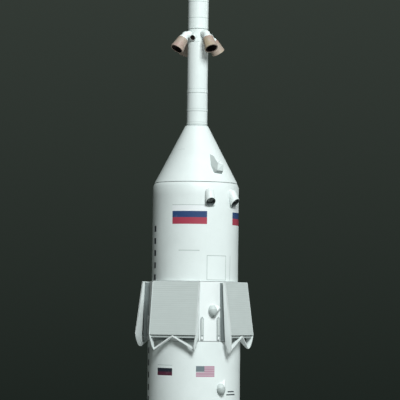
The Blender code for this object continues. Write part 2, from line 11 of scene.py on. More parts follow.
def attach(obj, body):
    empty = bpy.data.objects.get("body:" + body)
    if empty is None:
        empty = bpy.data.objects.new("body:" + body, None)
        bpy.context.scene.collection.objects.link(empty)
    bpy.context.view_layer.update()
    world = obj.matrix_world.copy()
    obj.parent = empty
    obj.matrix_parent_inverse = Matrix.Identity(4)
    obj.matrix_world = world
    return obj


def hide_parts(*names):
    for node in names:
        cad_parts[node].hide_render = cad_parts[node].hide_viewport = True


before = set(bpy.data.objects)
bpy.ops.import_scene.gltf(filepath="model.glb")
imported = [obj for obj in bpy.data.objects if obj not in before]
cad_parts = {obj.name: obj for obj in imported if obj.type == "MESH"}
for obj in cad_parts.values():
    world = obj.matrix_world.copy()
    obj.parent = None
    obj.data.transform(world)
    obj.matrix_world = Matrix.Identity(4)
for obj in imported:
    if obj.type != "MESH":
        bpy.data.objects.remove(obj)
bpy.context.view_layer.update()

bl_info = {
    "name": "Card Model Crew Rocket",
    "version": (1, 0, 0),
    "blender": (4, 5, 0),
    "location": "View3D > Sidebar > Card Rocket",
    "description": "Builds the visible card pieces of a three-stage crew rocket model",
    "category": "Object",
}

MM = 0.001

# Heights of the joints between the lengths, from the floor
PLATE_Z = 17.4 * MM
TAIL_Z = 20.0 * MM
CORE_FLARE_Z = 262.0 * MM
BELT_Z = 400.0 * MM
NECK_Z = 418.0 * MM
CORE_TOP_Z = 548.0 * MM
LATTICE_TOP_Z = 570.0 * MM
THIRD_TOP_Z = 710.0 * MM
ADAPTER_TOP_Z = 718.0 * MM
BAND_Z = 772.0 * MM
UPPER_Z = 812.0 * MM
CONE_Z = 878.8 * MM
TOWER_Z = 918.5 * MM
COLLAR_Z = 976.0 * MM
SEAM_Z = 984.8 * MM
NOSE_Z = 1012.0 * MM
TOP_Z = 1030.8 * MM

# Radii of the lengths
CORE_R = 21.35 * MM
BELT_R = 30.75 * MM
STAGE_R = 27.7 * MM
FAIRING_R = 31.5 * MM
BAND_TOP_R = 30.8 * MM
UPPER_R = 29.4 * MM
CONE_R = 28.35 * MM
SHOULDER_H = 2.6 * MM
TOWER_ROOT_R = 8.0 * MM
TOWER_R = 7.1 * MM
NOSE_R = 4.4 * MM

# Boosters
QUARTERS = (0, 90, 180, 270)
DIAGONALS = (45, 135, 225, 315)
BOOSTER_R = 27.9 * MM
BOOSTER_BASE_OUT = 52.9 * MM
BOOSTER_TIP_OUT = 34.2 * MM
BOOSTER_SKIRT_Z = 85.0 * MM
BOOSTER_NOSE_Z = 325.0 * MM
BOOSTER_NECK_R = 11.9 * MM
BOOSTER_TIP_Z = 408.0 * MM
BOOSTER_TIP_R = 2.2 * MM
BOOSTER_LEAN = (BOOSTER_BASE_OUT - BOOSTER_TIP_OUT) / (BOOSTER_TIP_Z - TAIL_Z)
FIN_SPAN = 107.3 * MM
FIN_ROOT_H = 40.0 * MM
FIN_TIP_H = 14.0 * MM
FIN_FOOT = 3.0 * MM
TIE_Z = 92.0 * MM

# Escape nozzles
ESCAPE_AZIMUTHS = (-32, 58, 148, 238)
ESCAPE_CANTS = (35, 31, 36, 38)
ESCAPE_ROOT_R = 2.6 * MM
ESCAPE_THROAT_R = 3.6 * MM
ESCAPE_MOUTH_R = 4.7 * MM
ESCAPE_STUB = 5.8 * MM
ESCAPE_LENGTH = 9.0 * MM
ESCAPE_MOUTH_OUT = 17.0 * MM
ESCAPE_MOUTH_Z = SEAM_Z - 14.5 * MM

# Grid-fin trays
TRAY_AZIMUTHS = (1.5, 88, 180, 270)
TRAY_HALF = 17.1 * MM
TRAY_H = 35.6 * MM
TRAY_LEAN = radians(8)
TRAY_TIP_OUT = 34.0 * MM
# How far the left and right lower corners of each hand-cut tray hang below its panel, in mm
TRAY_TIPS = ((10.2, 10.0), (12.0, 9.4), (10.0, 10.0), (9.0, 8.4))
TRAY_TIP_INSET = 2.3 * MM
TRAY_CHEEK_DEPTH = 5.0 * MM
TRAY_CHEEK_TOP = 2.0 * MM
TRAY_CORE_HALF = 15.3 * MM
TRAY_LOW_Z = UPPER_Z - TRAY_H
TRAY_LOW_OUT = FAIRING_R + TRAY_H * tan(TRAY_LEAN)

# Small forms on the fairing
SCOOP_AZIMUTHS = (43, 80, 223, 260)
SCOOP_R = 3.1 * MM
SCOOP_LENGTH = 11.0 * MM
SCOOP_CANT = radians(24)
SCOOP_TOP_Z = 874.8 * MM
SCOOP_MOUTH_OUT = 3.6 * MM
SCOOP_SLANT = 3.0 * MM
PAD_AZIMUTHS = (34.5, 55.5)
PAD_HALF = 1.1 * MM
PAD_H = 15.8 * MM
PERISCOPE_AZIMUTH = 61
PERISCOPE_Z = 884.6 * MM

# Printed areas of the upper fairing: middle and width in degrees, foot and head in mm, ink
UPPER_PRINTS = [
    (16.6 + quarter, width, low, high, ink)
    for quarter in (0, 90, 180)
    for width, low, high, ink in (
        (47.2, 863.0, 863.35, "grey_line"),
        (47.2, 859.1, 863.0, "white_ink"),
        (47.2, 854.9, 859.1, "blue_ink"),
        (47.2, 850.4, 854.9, "red_ink"),
    )
] + [
    (middle + turn, width, low, high, ink)
    for turn in (0, 180)
    for middle, width, low, high, ink in (
        (55.2, 29.2, 829.2, 829.6, "grey_line"),
        (55.2, 29.2, 813.0, 813.4, "grey_line"),
        (40.9, 0.7, 813.0, 829.6, "grey_line"),
        (69.5, 0.7, 813.0, 829.6, "grey_line"),
        (78.2, 0.7, 813.0, 829.6, "grey_line"),
        (16.6, 28.0, 832.6, 833.0, "grey_line"),
        (-42.5, 6.0, 845.4, 849.4, "dark_ink"),
        (-42.5, 6.0, 837.2, 841.2, "dark_ink"),
        (-42.5, 6.0, 829.0, 833.0, "dark_ink"),
        (-42.5, 6.0, 820.8, 824.8, "dark_ink"),
        (-42.5, 6.0, 812.6, 816.6, "dark_ink"),
    )
]
LOWER_PRINTS = [
    (middle + turn, width, low, high, ink)
    for turn in (0, 180)
    for middle, width, low, high, ink in (
        (-13.8, 23.2, 755.9, 756.2, "grey_line"),
        (-13.8, 23.2, 751.7, 754.1, "dark_ink"),
        (-13.8, 23.2, 749.2, 751.7, "plum_ink"),
        (32.9, 10.4, 752.0, 755.8, "slate_ink"),
        (-52.0, 6.0, 763.4, 767.4, "dark_ink"),
        (-52.0, 6.0, 755.2, 759.2, "dark_ink"),
        (-52.0, 6.0, 747.0, 751.0, "dark_ink"),
        (-52.0, 6.0, 738.8, 742.8, "dark_ink"),
        (-52.0, 6.0, 730.6, 734.6, "dark_ink"),
        (78.0, 13.0, 738.2, 739.0, "dark_ink"),
        (78.0, 17.0, 736.2, 737.0, "dark_ink"),
    )
]
STRIPE_STEP = 7.2 / 9


def stripe_rows():
    """Nine fine stripes beside and below the plain corner of the striped panel."""
    rows = []
    for turn in (0, 180):
        for stripe in range(9):
            low = 748.6 + stripe * STRIPE_STEP
            beside = low + STRIPE_STEP / 2 > 752.0
            left = 38.1 if beside else 27.7
            ink = "pink_ink" if stripe % 2 == 0 else "pale_pink_ink"
            rows.append(((left + 51.1) / 2 + turn, 51.1 - left, low, low + STRIPE_STEP, ink))
    return rows


LOWER_PRINTS += stripe_rows()


# Settings that a user may change


def colour_setting(name, description, value):
    return FloatVectorProperty(
        name=name, description=description, subtype="COLOR", size=3, min=0, max=1, default=value
    )


def length_setting(name, description, value):
    return FloatProperty(
        name=name, description=description, unit="LENGTH", min=0, precision=5, default=value
    )


class CardColours(bpy.types.PropertyGroup):
    """Colours of the card and of the inks, and the greys of painted shade"""
    white_card: colour_setting("White card", "Plain printed side of the card", (0.82, 0.865, 0.855))
    bright_card: colour_setting("Bright card", "Brighter card of the band behind the fins", (0.87, 0.90, 0.895))
    grey_card: colour_setting("Grey card", "Panels of the grid fins", (0.60, 0.64, 0.625))
    # Painted shade on the inner walls of the scoops
    mouth_card: colour_setting("Mouth card", "Dark inner walls of the scoops", (0.075, 0.09, 0.09))
    # Painted shade on the periscope's left facets, the scoops' rims and inner nozzles, and the thrusters' housings
    hood_grey: colour_setting("Hood, dark side", "Left facets of the periscope cover", (0.47, 0.51, 0.50))
    # Lighter painted shade on the periscope's low facets, the thrusters' housings and the lips under the grid fins
    hood_light: colour_setting("Hood, light side", "Lower facets of the periscope cover", (0.61, 0.66, 0.65))
    # Printed grey of the pads, booster tips and clamps, and also painted shade under the periscope and inside the
    # thrusters
    pad_card: colour_setting("Pad card", "Narrow pads beside the grid fins", (0.33, 0.37, 0.365))
    green_card: colour_setting("Green card", "Printed grey-green of the stages", (0.20, 0.25, 0.19))
    orange_card: colour_setting("Orange card", "Skirts of the boosters", (0.50, 0.19, 0.06))
    copper_card: colour_setting("Copper card", "Rolled cones of the nozzles", (0.42, 0.33, 0.27))
    dark_card: colour_setting("Dark card", "Insides and plates", (0.022, 0.022, 0.024))
    soot: colour_setting("Soot", "Insides of the escape nozzles", (0.022, 0.011, 0.009))
    # Painted shade in the scoops' ends and on the shims in the clefts of the grid fins
    shade_card: colour_setting("Shaded card", "Insides of the scoops and shims of the grid fins", (0.22, 0.25, 0.25))
    cut_edge: colour_setting("Cut edge", "Bare core of the card where it is cut", (0.78, 0.80, 0.79))
    blue_ink: colour_setting("Blue ink", "Middle stripe of the large panel", (0.029, 0.064, 0.175))
    red_ink: colour_setting("Red ink", "Lower stripe of the large panel", (0.42, 0.050, 0.085))
    white_ink: colour_setting("White ink", "Upper stripe of the large panel", (0.86, 0.88, 0.89))
    dark_ink: colour_setting("Dark ink", "Marks and the small panel", (0.018, 0.022, 0.035))
    plum_ink: colour_setting("Plum ink", "Lower stripe of the small panel", (0.10, 0.022, 0.045))
    slate_ink: colour_setting("Slate ink", "Plain corner of the striped panel", (0.17, 0.21, 0.23))
    pink_ink: colour_setting("Pink ink", "Stripes of the striped panel", (0.50, 0.28, 0.36))
    pale_pink_ink: colour_setting("Pale pink ink", "Ground of the striped panel", (0.56, 0.40, 0.47))
    grey_line: colour_setting("Grey line", "Hairlines round panels and hatches", (0.42, 0.48, 0.46))


class CardSizes(bpy.types.PropertyGroup):
    """Thicknesses and textures of the card"""
    sheet: length_setting("Sheet", "Thickness of one sheet of card", 0.25 * MM)
    doubled: length_setting("Doubled card", "Thickness of the doubled card of the grid fins", 0.9 * MM)
    ease: length_setting("Eased edge", "Width of the soft edge where card is cut or folded", 0.14 * MM)
    wave: length_setting("Wave", "How far a rolled sheet strays from a true round", 0.05 * MM)
    grain: length_setting("Grain", "Depth of the paper's grain", 0.016 * MM)


class StudioSettings(bpy.types.PropertyGroup):
    """Camera, lights and backdrop"""
    azimuth: FloatProperty(
        name="Azimuth", description="Camera's place round the model", subtype="ANGLE", default=radians(25)
    )
    elevation: FloatProperty(
        name="Elevation", description="Camera's height angle", subtype="ANGLE", default=radians(-3.1)
    )
    roll: FloatProperty(name="Roll", description="Tilt of the camera", subtype="ANGLE", default=radians(0.7))
    distance: length_setting("Distance", "From the camera to the point looked at", 1.366)
    target_z: length_setting("Target height", "Height that the camera looks at", 0.868)
    target_x: length_setting("Target shift", "Sideways shift of the point looked at", 0.0028)
    lens: FloatProperty(name="Lens", description="Focal length", unit="CAMERA", default=180)
    key: FloatProperty(name="Key light", description="Power of the key light", unit="POWER", default=54)
    side: FloatProperty(name="Side light", description="Power of the side light", unit="POWER", default=7.6)
    backdrop_high: colour_setting("Backdrop, high", "Backdrop above", (0.034, 0.043, 0.036))
    backdrop_low: colour_setting("Backdrop, low", "Backdrop below", (0.012, 0.017, 0.014))
    floor: colour_setting("Floor", "Pale studio floor", (0.55, 0.55, 0.54))


def settings():
    scene = bpy.context.scene
    return scene.rocket_colours, scene.rocket_sizes, scene.rocket_studio


# Finishes


class Wiring:
    """Node tree of one material, built a node at a time."""

    def __init__(self, name):
        self.material = bpy.data.materials.new(name)
        self.material.use_nodes = True
        self.tree = self.material.node_tree
        self.shader = self.tree.nodes["Principled BSDF"]
        self.place = self.node("ShaderNodeTexCoord").outputs["Object"]

    def node(self, kind, **values):
        made = self.tree.nodes.new(kind)
        for key, value in values.items():
            setattr(made, key, value)
        return made

    def link(self, source, target):
        self.tree.links.new(source, target)

    def stretched(self, scale):
        mapping = self.node("ShaderNodeMapping")
        mapping.inputs["Scale"].default_value = scale
        self.link(self.place, mapping.inputs["Vector"])
        return mapping.outputs["Vector"]

    def noise(self, scale, detail=3.0, roughness=0.55, place=None, distortion=0.0):
        noise = self.node("ShaderNodeTexNoise")
        noise.inputs["Scale"].default_value = scale
        noise.inputs["Detail"].default_value = detail
        noise.inputs["Roughness"].default_value = roughness
        noise.inputs["Distortion"].default_value = distortion
        self.link(place or self.place, noise.inputs["Vector"])
        return noise.outputs["Fac"]

    def spread(self, value, low, high, start=0.3, end=0.7):
        """Spread a value between start and end over low to high."""
        span = self.node("ShaderNodeMapRange")
        span.inputs["From Min"].default_value = start
        span.inputs["From Max"].default_value = end
        span.inputs["To Min"].default_value = low
        span.inputs["To Max"].default_value = high
        self.link(value, span.inputs["Value"])
        return span.outputs["Result"]

    def blend(self, amount, first, second, mode="MIX"):
        """Mix two colours, each a plain colour or a socket."""
        mix = self.node("ShaderNodeMix", data_type="RGBA", blend_type=mode)
        self.link(amount, mix.inputs["Factor"])
        for name, colour in (("A", first), ("B", second)):
            socket = next(s for s in mix.inputs if s.name == name and s.type == "RGBA")
            if isinstance(colour, bpy.types.NodeSocket):
                self.link(colour, socket)
            else:
                socket.default_value = (*colour, 1)
        return next(s for s in mix.outputs if s.type == "RGBA")

    def bumps(self, heights):
        """Chain bumps from pairs of a height socket and its depth in metres."""
        normal = None
        for height, depth in heights:
            bump = self.node("ShaderNodeBump")
            bump.inputs["Strength"].default_value = 1.0
            bump.inputs["Distance"].default_value = depth
            self.link(height, bump.inputs["Height"])
            if normal:
                self.link(normal, bump.inputs["Normal"])
            normal = bump.outputs["Normal"]
        self.link(normal, self.shader.inputs["Normal"])

    def lines(self, step, place=None):
        """Fine level lines, one each step of height, as a value from 0 to 1."""
        wave = self.node("ShaderNodeTexWave", wave_type="BANDS", bands_direction="Z", wave_profile="SIN")
        # The wave node repeats every pi / 10 of its scaled place
        wave.inputs["Scale"].default_value = pi / 10 / step
        wave.inputs["Distortion"].default_value = 0.6
        wave.inputs["Detail"].default_value = 1.0
        wave.inputs["Detail Scale"].default_value = 2.0
        self.link(place or self.place, wave.inputs["Vector"])
        return wave.outputs["Fac"]


def shaded(colour, factor):
    return tuple(min(1.0, channel * factor) for channel in colour)


def card(name, colour, roughness, mottle=0.05, worn=0.0, coat=0.0):
    """Printed card: paper grain, mottled ink, uneven sheen, rubbed places."""
    sizes = settings()[1]
    wiring = Wiring(name)
    shader = wiring.shader
    cloud = wiring.spread(wiring.noise(46, 4), 0, 1)
    tint = wiring.blend(cloud, shaded(colour, 1 - mottle), shaded(colour, 1 + mottle * 0.5))
    fibre = wiring.noise(1.0, 2, 0.6, wiring.stretched((900, 900, 2600)))
    flecks = wiring.spread(fibre, 0, 1, 0.62, 0.78)
    tint = wiring.blend(flecks, tint, shaded(colour, 0.9))
    if worn:
        rub = wiring.spread(wiring.noise(210, 6, 0.7), 0, worn, 0.58, 0.74)
        tint = wiring.blend(rub, tint, settings()[0].cut_edge)
    wiring.link(tint, shader.inputs["Base Color"])
    sheen = wiring.spread(wiring.noise(150, 3), roughness - 0.07, roughness + 0.07)
    wiring.link(sheen, shader.inputs["Roughness"])
    shader.inputs["Specular IOR Level"].default_value = 0.45
    shader.inputs["Coat Weight"].default_value = coat
    shader.inputs["Coat Roughness"].default_value = 0.35
    wiring.bumps(((wiring.noise(1500, 3, 0.65), sizes.grain), (wiring.noise(90, 2), sizes.grain * 5)))
    return wiring.material


def grid_card(name, colour):
    """Grey panel of a folded grid fin: fine level lines printed on card that is a little rubbed."""
    sizes = settings()[1]
    wiring = Wiring(name)
    shader = wiring.shader
    rows = wiring.lines(1.42 * MM)
    fine = wiring.lines(0.71 * MM)
    streak = wiring.noise(1.0, 3, 0.6, wiring.stretched((60, 60, 900)))
    tint = wiring.blend(wiring.spread(rows, 0, 0.5, 0.15, 0.95), shaded(colour, 1.02), shaded(colour, 0.90))
    tint = wiring.blend(wiring.spread(fine, 0, 0.2, 0.3, 0.9), tint, shaded(colour, 0.88))
    tint = wiring.blend(wiring.spread(streak, 0, 0.5), tint, shaded(colour, 1.12))
    blot = wiring.spread(wiring.noise(70, 4), 0, 0.4)
    tint = wiring.blend(blot, tint, shaded(colour, 0.92))
    wiring.link(tint, shader.inputs["Base Color"])
    wiring.link(wiring.spread(wiring.noise(160, 3), 0.5, 0.66), shader.inputs["Roughness"])
    shader.inputs["Specular IOR Level"].default_value = 0.4
    wiring.bumps(((wiring.noise(1500, 3, 0.65), sizes.grain), (rows, sizes.grain * 2)))
    return wiring.material


def copper_card(name, colour):
    """Rolled cone printed copper, with rosy and straw-coloured heat tints and scuffs."""
    sizes = settings()[1]
    wiring = Wiring(name)
    shader = wiring.shader
    patches = wiring.spread(wiring.noise(120, 3, 0.5), 0, 1, 0.28, 0.54)
    rosy = (colour[0] * 1.02, colour[1] * 0.76, colour[2] * 0.84)
    straw = (colour[0] * 1.06, colour[1] * 1.10, colour[2] * 0.84)
    tint = wiring.blend(patches, rosy, colour)
    tint = wiring.blend(wiring.spread(wiring.noise(95, 2, 0.5), 0, 0.6, 0.5, 0.68), tint, straw)
    grey = wiring.spread(wiring.noise(330, 5, 0.7), 0, 0.5, 0.5, 0.72)
    tint = wiring.blend(grey, tint, (colour[0] * 1.1, colour[1] * 1.32, colour[2] * 1.5))
    wiring.link(tint, shader.inputs["Base Color"])
    wiring.link(wiring.spread(wiring.noise(260, 3), 0.42, 0.62), shader.inputs["Roughness"])
    shader.inputs["Specular IOR Level"].default_value = 0.5
    wiring.bumps(((wiring.noise(1400, 3, 0.65), sizes.grain), (wiring.noise(240, 3), sizes.grain * 3)))
    return wiring.material


def floor_finish(name, colour):
    """Pale matt studio floor with a faint tooth."""
    wiring = Wiring(name)
    shader = wiring.shader
    tint = wiring.blend(wiring.spread(wiring.noise(3, 4), 0, 1), shaded(colour, 0.97), colour)
    wiring.link(tint, shader.inputs["Base Color"])
    wiring.link(wiring.spread(wiring.noise(40, 4), 0.6, 0.75), shader.inputs["Roughness"])
    wiring.bumps(((wiring.noise(420, 4), 0.05 * MM),))
    return wiring.material


# finish: roughness, mottling, rubbing, coat
CARDS = {
    "white_card": (0.46, 0.05, 0.0, 0.06),
    "bright_card": (0.44, 0.03, 0.0, 0.08),
    "grey_card": (0.55, 0.06, 0.0, 0.0),
    "mouth_card": (0.65, 0.12, 0.0, 0.0),
    "hood_grey": (0.50, 0.05, 0.0, 0.0),
    "hood_light": (0.50, 0.05, 0.0, 0.0),
    "pad_card": (0.55, 0.08, 0.08, 0.0),
    "green_card": (0.52, 0.10, 0.12, 0.0),
    "orange_card": (0.50, 0.12, 0.14, 0.0),
    "dark_card": (0.70, 0.15, 0.05, 0.0),
    "soot": (0.75, 0.15, 0.0, 0.0),
    "shade_card": (0.65, 0.12, 0.0, 0.0),
    "cut_edge": (0.75, 0.10, 0.0, 0.0),
    "blue_ink": (0.44, 0.12, 0.10, 0.05),
    "red_ink": (0.44, 0.12, 0.08, 0.05),
    "white_ink": (0.42, 0.03, 0.0, 0.08),
    "dark_ink": (0.50, 0.15, 0.12, 0.0),
    "plum_ink": (0.50, 0.12, 0.10, 0.0),
    "slate_ink": (0.50, 0.12, 0.10, 0.0),
    "pink_ink": (0.50, 0.10, 0.06, 0.0),
    "pale_pink_ink": (0.50, 0.10, 0.0, 0.0),
    "grey_line": (0.55, 0.15, 0.0, 0.0),
}
MADE = {}


def finish(name):
    """Material of that name, made on its first use."""
    if name in MADE:
        return MADE[name]
    colours = settings()[0]
    if name in CARDS:
        roughness, mottle, worn, coat = CARDS[name]
        MADE[name] = card(name, tuple(getattr(colours, name)), roughness, mottle, worn, coat)
    elif name == "grid_card":
        MADE[name] = grid_card(name, tuple(colours.grey_card))
    elif name == "copper_card":
        MADE[name] = copper_card(name, tuple(colours.copper_card))
    else:
        raise KeyError(name)
    return MADE[name]


# Mesh building


def out_from_axis(azimuth):
    """Unit vector that points away from the axis of the rocket."""
    angle = radians(azimuth)
    return Vector((sin(angle), -cos(angle), 0))


def facing(azimuth, distance=0.0, height=0.0):
    """Frame at a distance from the axis: +X out, +Y across to the right from outside, +Z up."""
    place = Matrix.Translation(out_from_axis(azimuth) * distance + Vector((0, 0, height)))
    return place @ Matrix.Rotation(radians(azimuth) - pi / 2, 4, "Z")


class Mould:
    """Mesh of one piece under construction, where each face keeps its finish."""

    def __init__(self, name):
        self.name = name
        self.mesh = bmesh.new()
        self.finishes = []

    def ink(self, name):
        if name not in self.finishes:
            self.finishes.append(name)
        return self.finishes.index(name)

    def face(self, corners, ink):
        made = self.mesh.faces.new(corners)
        made.material_index = self.ink(ink)
        return made

    def strip(self, first, second, ink):
        """Faces between two closed rings, where a ring of one corner is a point."""
        count = max(len(first), len(second))
        for i in range(count):
            j = (i + 1) % count
            corners = []
            for ring, order in ((first, (i, j)), (second, (j, i))):
                for k in order if len(ring) > 1 else (0,):
                    corners.append(ring[k])
            self.face(corners, ink)

    def turned(self, outline, inks, place=None, sides=32):
        """Turn (radius, height) points about Z. inks is one finish, or one for each step."""
        place = place or Matrix.Identity(4)
        rings = []
        for radius, height in outline:
            count = sides if radius > 0 else 1
            ring = []
            for i in range(count):
                angle = 2 * pi * i / sides
                spot = Vector((radius * cos(angle), radius * sin(angle), height))
                ring.append(self.mesh.verts.new(place @ spot))
            rings.append(ring)
        for i in range(len(rings) - 1):
            self.strip(rings[i], rings[i + 1], inks if isinstance(inks, str) else inks[i])

    def ball(self, middle, radius, ink, sides=28):
        """Round joint between two bars."""
        arc = [radians(180 * i / 12) for i in range(13)]
        outline = [(radius * sin(turn), radius * cos(turn)) for turn in arc]
        outline[0], outline[-1] = (0, radius), (0, -radius)
        self.turned(outline, ink, Matrix.Translation(middle), sides)

    def plate(self, outline, place, near, far, inks, ease):
        """Flat card cut to an outline in the YZ plane of a place, from near to far along X.

        inks names the finish of the far face, of the near face and of the cut edge.
        """
        part = bmesh.new()
        back = [part.verts.new((near, y, z)) for y, z in outline]
        front = [part.verts.new((far, y, z)) for y, z in outline]
        faces = [(part.faces.new(front), inks[0]), (part.faces.new(list(reversed(back))), inks[1])]
        for i in range(len(outline)):
            j = (i + 1) % len(outline)
            faces.append((part.faces.new((back[i], back[j], front[j], front[i])), inks[2]))
        for made, ink in faces:
            made.material_index = self.ink(ink)
        bmesh.ops.recalc_face_normals(part, faces=part.faces)
        if ease:
            bmesh.ops.bevel(
                part, geom=part.edges[:], offset=ease, segments=2, affect="EDGES", profile=0.6
            )
        self.join(part, place)

    def join(self, part, place):
        bmesh.ops.transform(part, matrix=place, verts=part.verts)
        copy = bpy.data.meshes.new("part")
        part.to_mesh(copy)
        part.free()
        self.mesh.from_mesh(copy)
        bpy.data.meshes.remove(copy)

    def bar(self, start, end, radius, ink, sides=12):
        """Round bar between two points, with eased ends."""
        span = end - start
        turn = Vector((0, 0, 1)).rotation_difference(span).to_matrix().to_4x4()
        length = span.length
        ease = radius * 0.25
        outline = [(0, 0), (radius - ease, 0), (radius, ease), (radius, length - ease), (radius - ease, length), (0, length)]
        self.turned(outline, ink, Matrix.Translation(start) @ turn, sides)

    def piece(self, slot, *nodes, angle=32):
        """Finish the mesh as an object that rides on the model and replaces CAD nodes."""
        bmesh.ops.recalc_face_normals(self.mesh, faces=self.mesh.faces)
        mesh = bpy.data.meshes.new(self.name)
        self.mesh.to_mesh(mesh)
        self.mesh.free()
        for name in self.finishes:
            mesh.materials.append(finish(name))
        mesh.shade_smooth()
        mesh.set_sharp_from_angle(angle=radians(angle))
        obj = bpy.data.objects.new(self.name, mesh)
        bpy.context.scene.collection.objects.link(obj)
        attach(obj, "root")
        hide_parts(*nodes)
        return obj


def columns_of(prints, sides, seam):
    """Azimuths of a tube's columns, in degrees from its seam: even ones, and the borders of prints."""
    borders = {0.0, 360.0}
    for middle, width, low, high, ink in prints:
        for edge in (middle - width / 2, middle + width / 2):
            borders.add(round((edge - seam) % 360, 4))
    step = 360 / sides
    columns = sorted(borders)
    for i in range(sides):
        azimuth = i * step
        if min(abs(azimuth - border) for border in borders) > step * 0.3:
            columns.append(azimuth)
    return sorted(columns)


def rows_of(outline, prints, step):
    """(radius, height) rows of a tube from the top down: its outline, print borders and even steps."""
    heights = {round(height, 7) for radius, height in outline}
    top = outline[0][1]
    foot = outline[-1][1]
    for middle, width, low, high, ink in prints:
        heights.update(round(edge * MM, 7) for edge in (low, high) if foot < edge * MM < top)
    count = max(1, ceil((top - foot) / step))
    even = [top - (top - foot) * i / count for i in range(1, count)]
    fixed = sorted(heights)
    heights.update(h for h in even if min(abs(h - other) for other in fixed) > step * 0.25)
    rows = []
    for height in sorted(heights, reverse=True):
        rows.append((radius_at(outline, height), height))
    return rows


def radius_at(outline, height):
    """Radius of an outline that runs down, at a height."""
    for (r0, z0), (r1, z1) in zip(outline, outline[1:]):
        if z1 - 1e-7 <= height <= z0 + 1e-7:
            if z0 - z1 < 1e-9:
                return r0
            return r0 + (r1 - r0) * (z0 - height) / (z0 - z1)
    return outline[-1][0]


def rolled(mould, outline, ink, prints=(), sides=96, seam=200, step=9 * MM, lap=None, wave=None):
    """Closed tube of rolled card, with one lapped seam, eased ends and printed areas.

    The outline runs down the outer side. Prints are rows of middle and width in degrees, foot and head
    in mm, and ink. The sheet closes on itself at the seam, where its outer edge stands proud.
    """
    sizes = settings()[1]
    lap = sizes.sheet if lap is None else lap
    wave = sizes.wave if wave is None else wave
    ease = sizes.ease
    (r0, z0), (r1, z1) = outline[0], outline[-1]
    body = [(r0, z0 - ease), *outline[1:-1], (r1, z1 + ease)]
    rows = [(r0 - ease, z0), *rows_of(body, prints, step), (r1 - ease, z1)]
    columns = columns_of(prints, sides, seam)
    top, foot = rows[0][1], rows[-1][1]
    rings = []
    for radius, height in rows:
        # The wave dies out towards both ends, so that neighbouring lengths meet
        calm = min(1.0, (top - height) / (8 * MM), (height - foot) / (8 * MM))
        ring = []
        for column in columns:
            azimuth = seam + column
            angle = radians(azimuth)
            stray = sin(3 * angle + 110 * height) * sin(47 * height + angle)
            stray += 0.6 * sin(5 * angle - 160 * height + 2)
            reach = radius - lap * column / 360 + wave * calm * stray
            ring.append(mould.mesh.verts.new(out_from_axis(azimuth) * reach + Vector((0, 0, height))))
        rings.append(ring)
    count = len(columns)
    for above, below, upper, lower in zip(rings, rings[1:], rows, rows[1:]):
        height = (upper[1] + lower[1]) / 2
        for i in range(count - 1):
            azimuth = seam + (columns[i] + columns[i + 1]) / 2
            tone = ink
            for middle, width, low, high, printed in prints:
                apart = abs((azimuth - middle + 180) % 360 - 180)
                if apart < width / 2 and low * MM < height < high * MM:
                    tone = printed
            mould.face((above[i], above[i + 1], below[i + 1], below[i]), tone)
        # The sheet's own edge at the seam
        mould.face((above[-1], above[0], below[0], below[-1]), "cut_edge")
    mould.face(rings[0], ink)
    mould.face(list(reversed(rings[-1])), ink)


def tube_piece(name, slot, node, outline, ink, **options):
    mould = Mould(name)
    rolled(mould, outline, ink, **options)
    return mould.piece(slot, node)


def ring_lines(rows, ink="grey_line"):
    """Printed rings from rows of a foot and a head in mm."""
    return [(180, 359.9, low, high, ink) for low, high in rows]


# Pieces


def build_tower():
    """Rolled tubes of the escape tower, its nose, and the collar with four pitch nozzles."""
    gap = 0.3 * MM
    mould = Mould("tower_nose_card")
    nose = [(0, TOP_Z), (0.8 * MM, TOP_Z - 0.25 * MM), (1.3 * MM, TOP_Z - 1.1 * MM)]
    nose += [(NOSE_R * 0.55, TOP_Z - 5.6 * MM), (NOSE_R * 0.62, TOP_Z - 6.2 * MM)]
    nose += [(NOSE_R * 0.98, TOP_Z - 9.2 * MM), (NOSE_R * 1.02, TOP_Z - 9.7 * MM)]
    nose += [(TOWER_R, NOSE_Z + gap + 0.3 * MM), (TOWER_R - 0.15 * MM, NOSE_Z + gap), (0, NOSE_Z + gap)]
    mould.turned(nose, "white_card", sides=48)
    mould.piece("white_card", "tower_nose")
    tube_piece(
        "tower_upper_card", "white_card", "tower_upper",
        [(TOWER_R, NOSE_Z), (TOWER_R, SEAM_Z + gap)], "white_card",
        prints=ring_lines(((992.5, 992.8), (1003.6, 1003.9))), sides=56, seam=81,
    )
    # Strips wrapped round the tube stand a sheet proud of it
    proud = 0.12 * MM
    outline = [(TOWER_R, COLLAR_Z)]
    rings = []
    for high, low in ((944.0, 941.2), (930.3, 928.6), (921.0, 919.6)):
        outline += [(TOWER_R, high * MM), (TOWER_R + proud, (high - 0.05) * MM)]
        outline += [(TOWER_R + proud, low * MM), (TOWER_R, (low - 0.05) * MM)]
        rings += [(low - 0.3, low), (high - 0.2, high)]
    outline.append((TOWER_R, TOWER_Z + gap))
    tube_piece(
        "tower_lower_card", "white_card", "tower_lower", outline, "white_card",
        prints=ring_lines(rings), sides=56, seam=81,
    )
    mould = Mould("escape_collar_card")
    rolled(mould, [(TOWER_R, SEAM_Z), (TOWER_R, COLLAR_Z + 0.06 * MM)], "white_card", sides=56, seam=81)
    tilt = Matrix.Rotation(radians(-65), 4, "Y")
    cup = [(0, 3.6), (1.8, 3.6), (1.9, 3.2), (2.0, 0.5), (2.15, 0.12), (2.1, 0), (1.8, 0), (1.7, 0.2)]
    cup += [(1.65, 1.0), (0, 1.1)]
    inks = ["white_card"] * 5 + ["cut_edge"] + ["soot"] * 3
    collar = [(1.95, 2.9), (2.55, 2.8), (2.65, 2.4), (1.9, 2.2)]
    for azimuth in QUARTERS:
        place = facing(azimuth, TOWER_R + 1.5 * MM, SEAM_Z - 6.4 * MM) @ tilt
        mould.turned([(r * MM, z * MM) for r, z in cup], inks, place, 24)
        mould.turned([(r * MM, z * MM) for r, z in (*collar, collar[0])], "white_card", place, 24)
    mould.piece("white_card", "escape_collar")


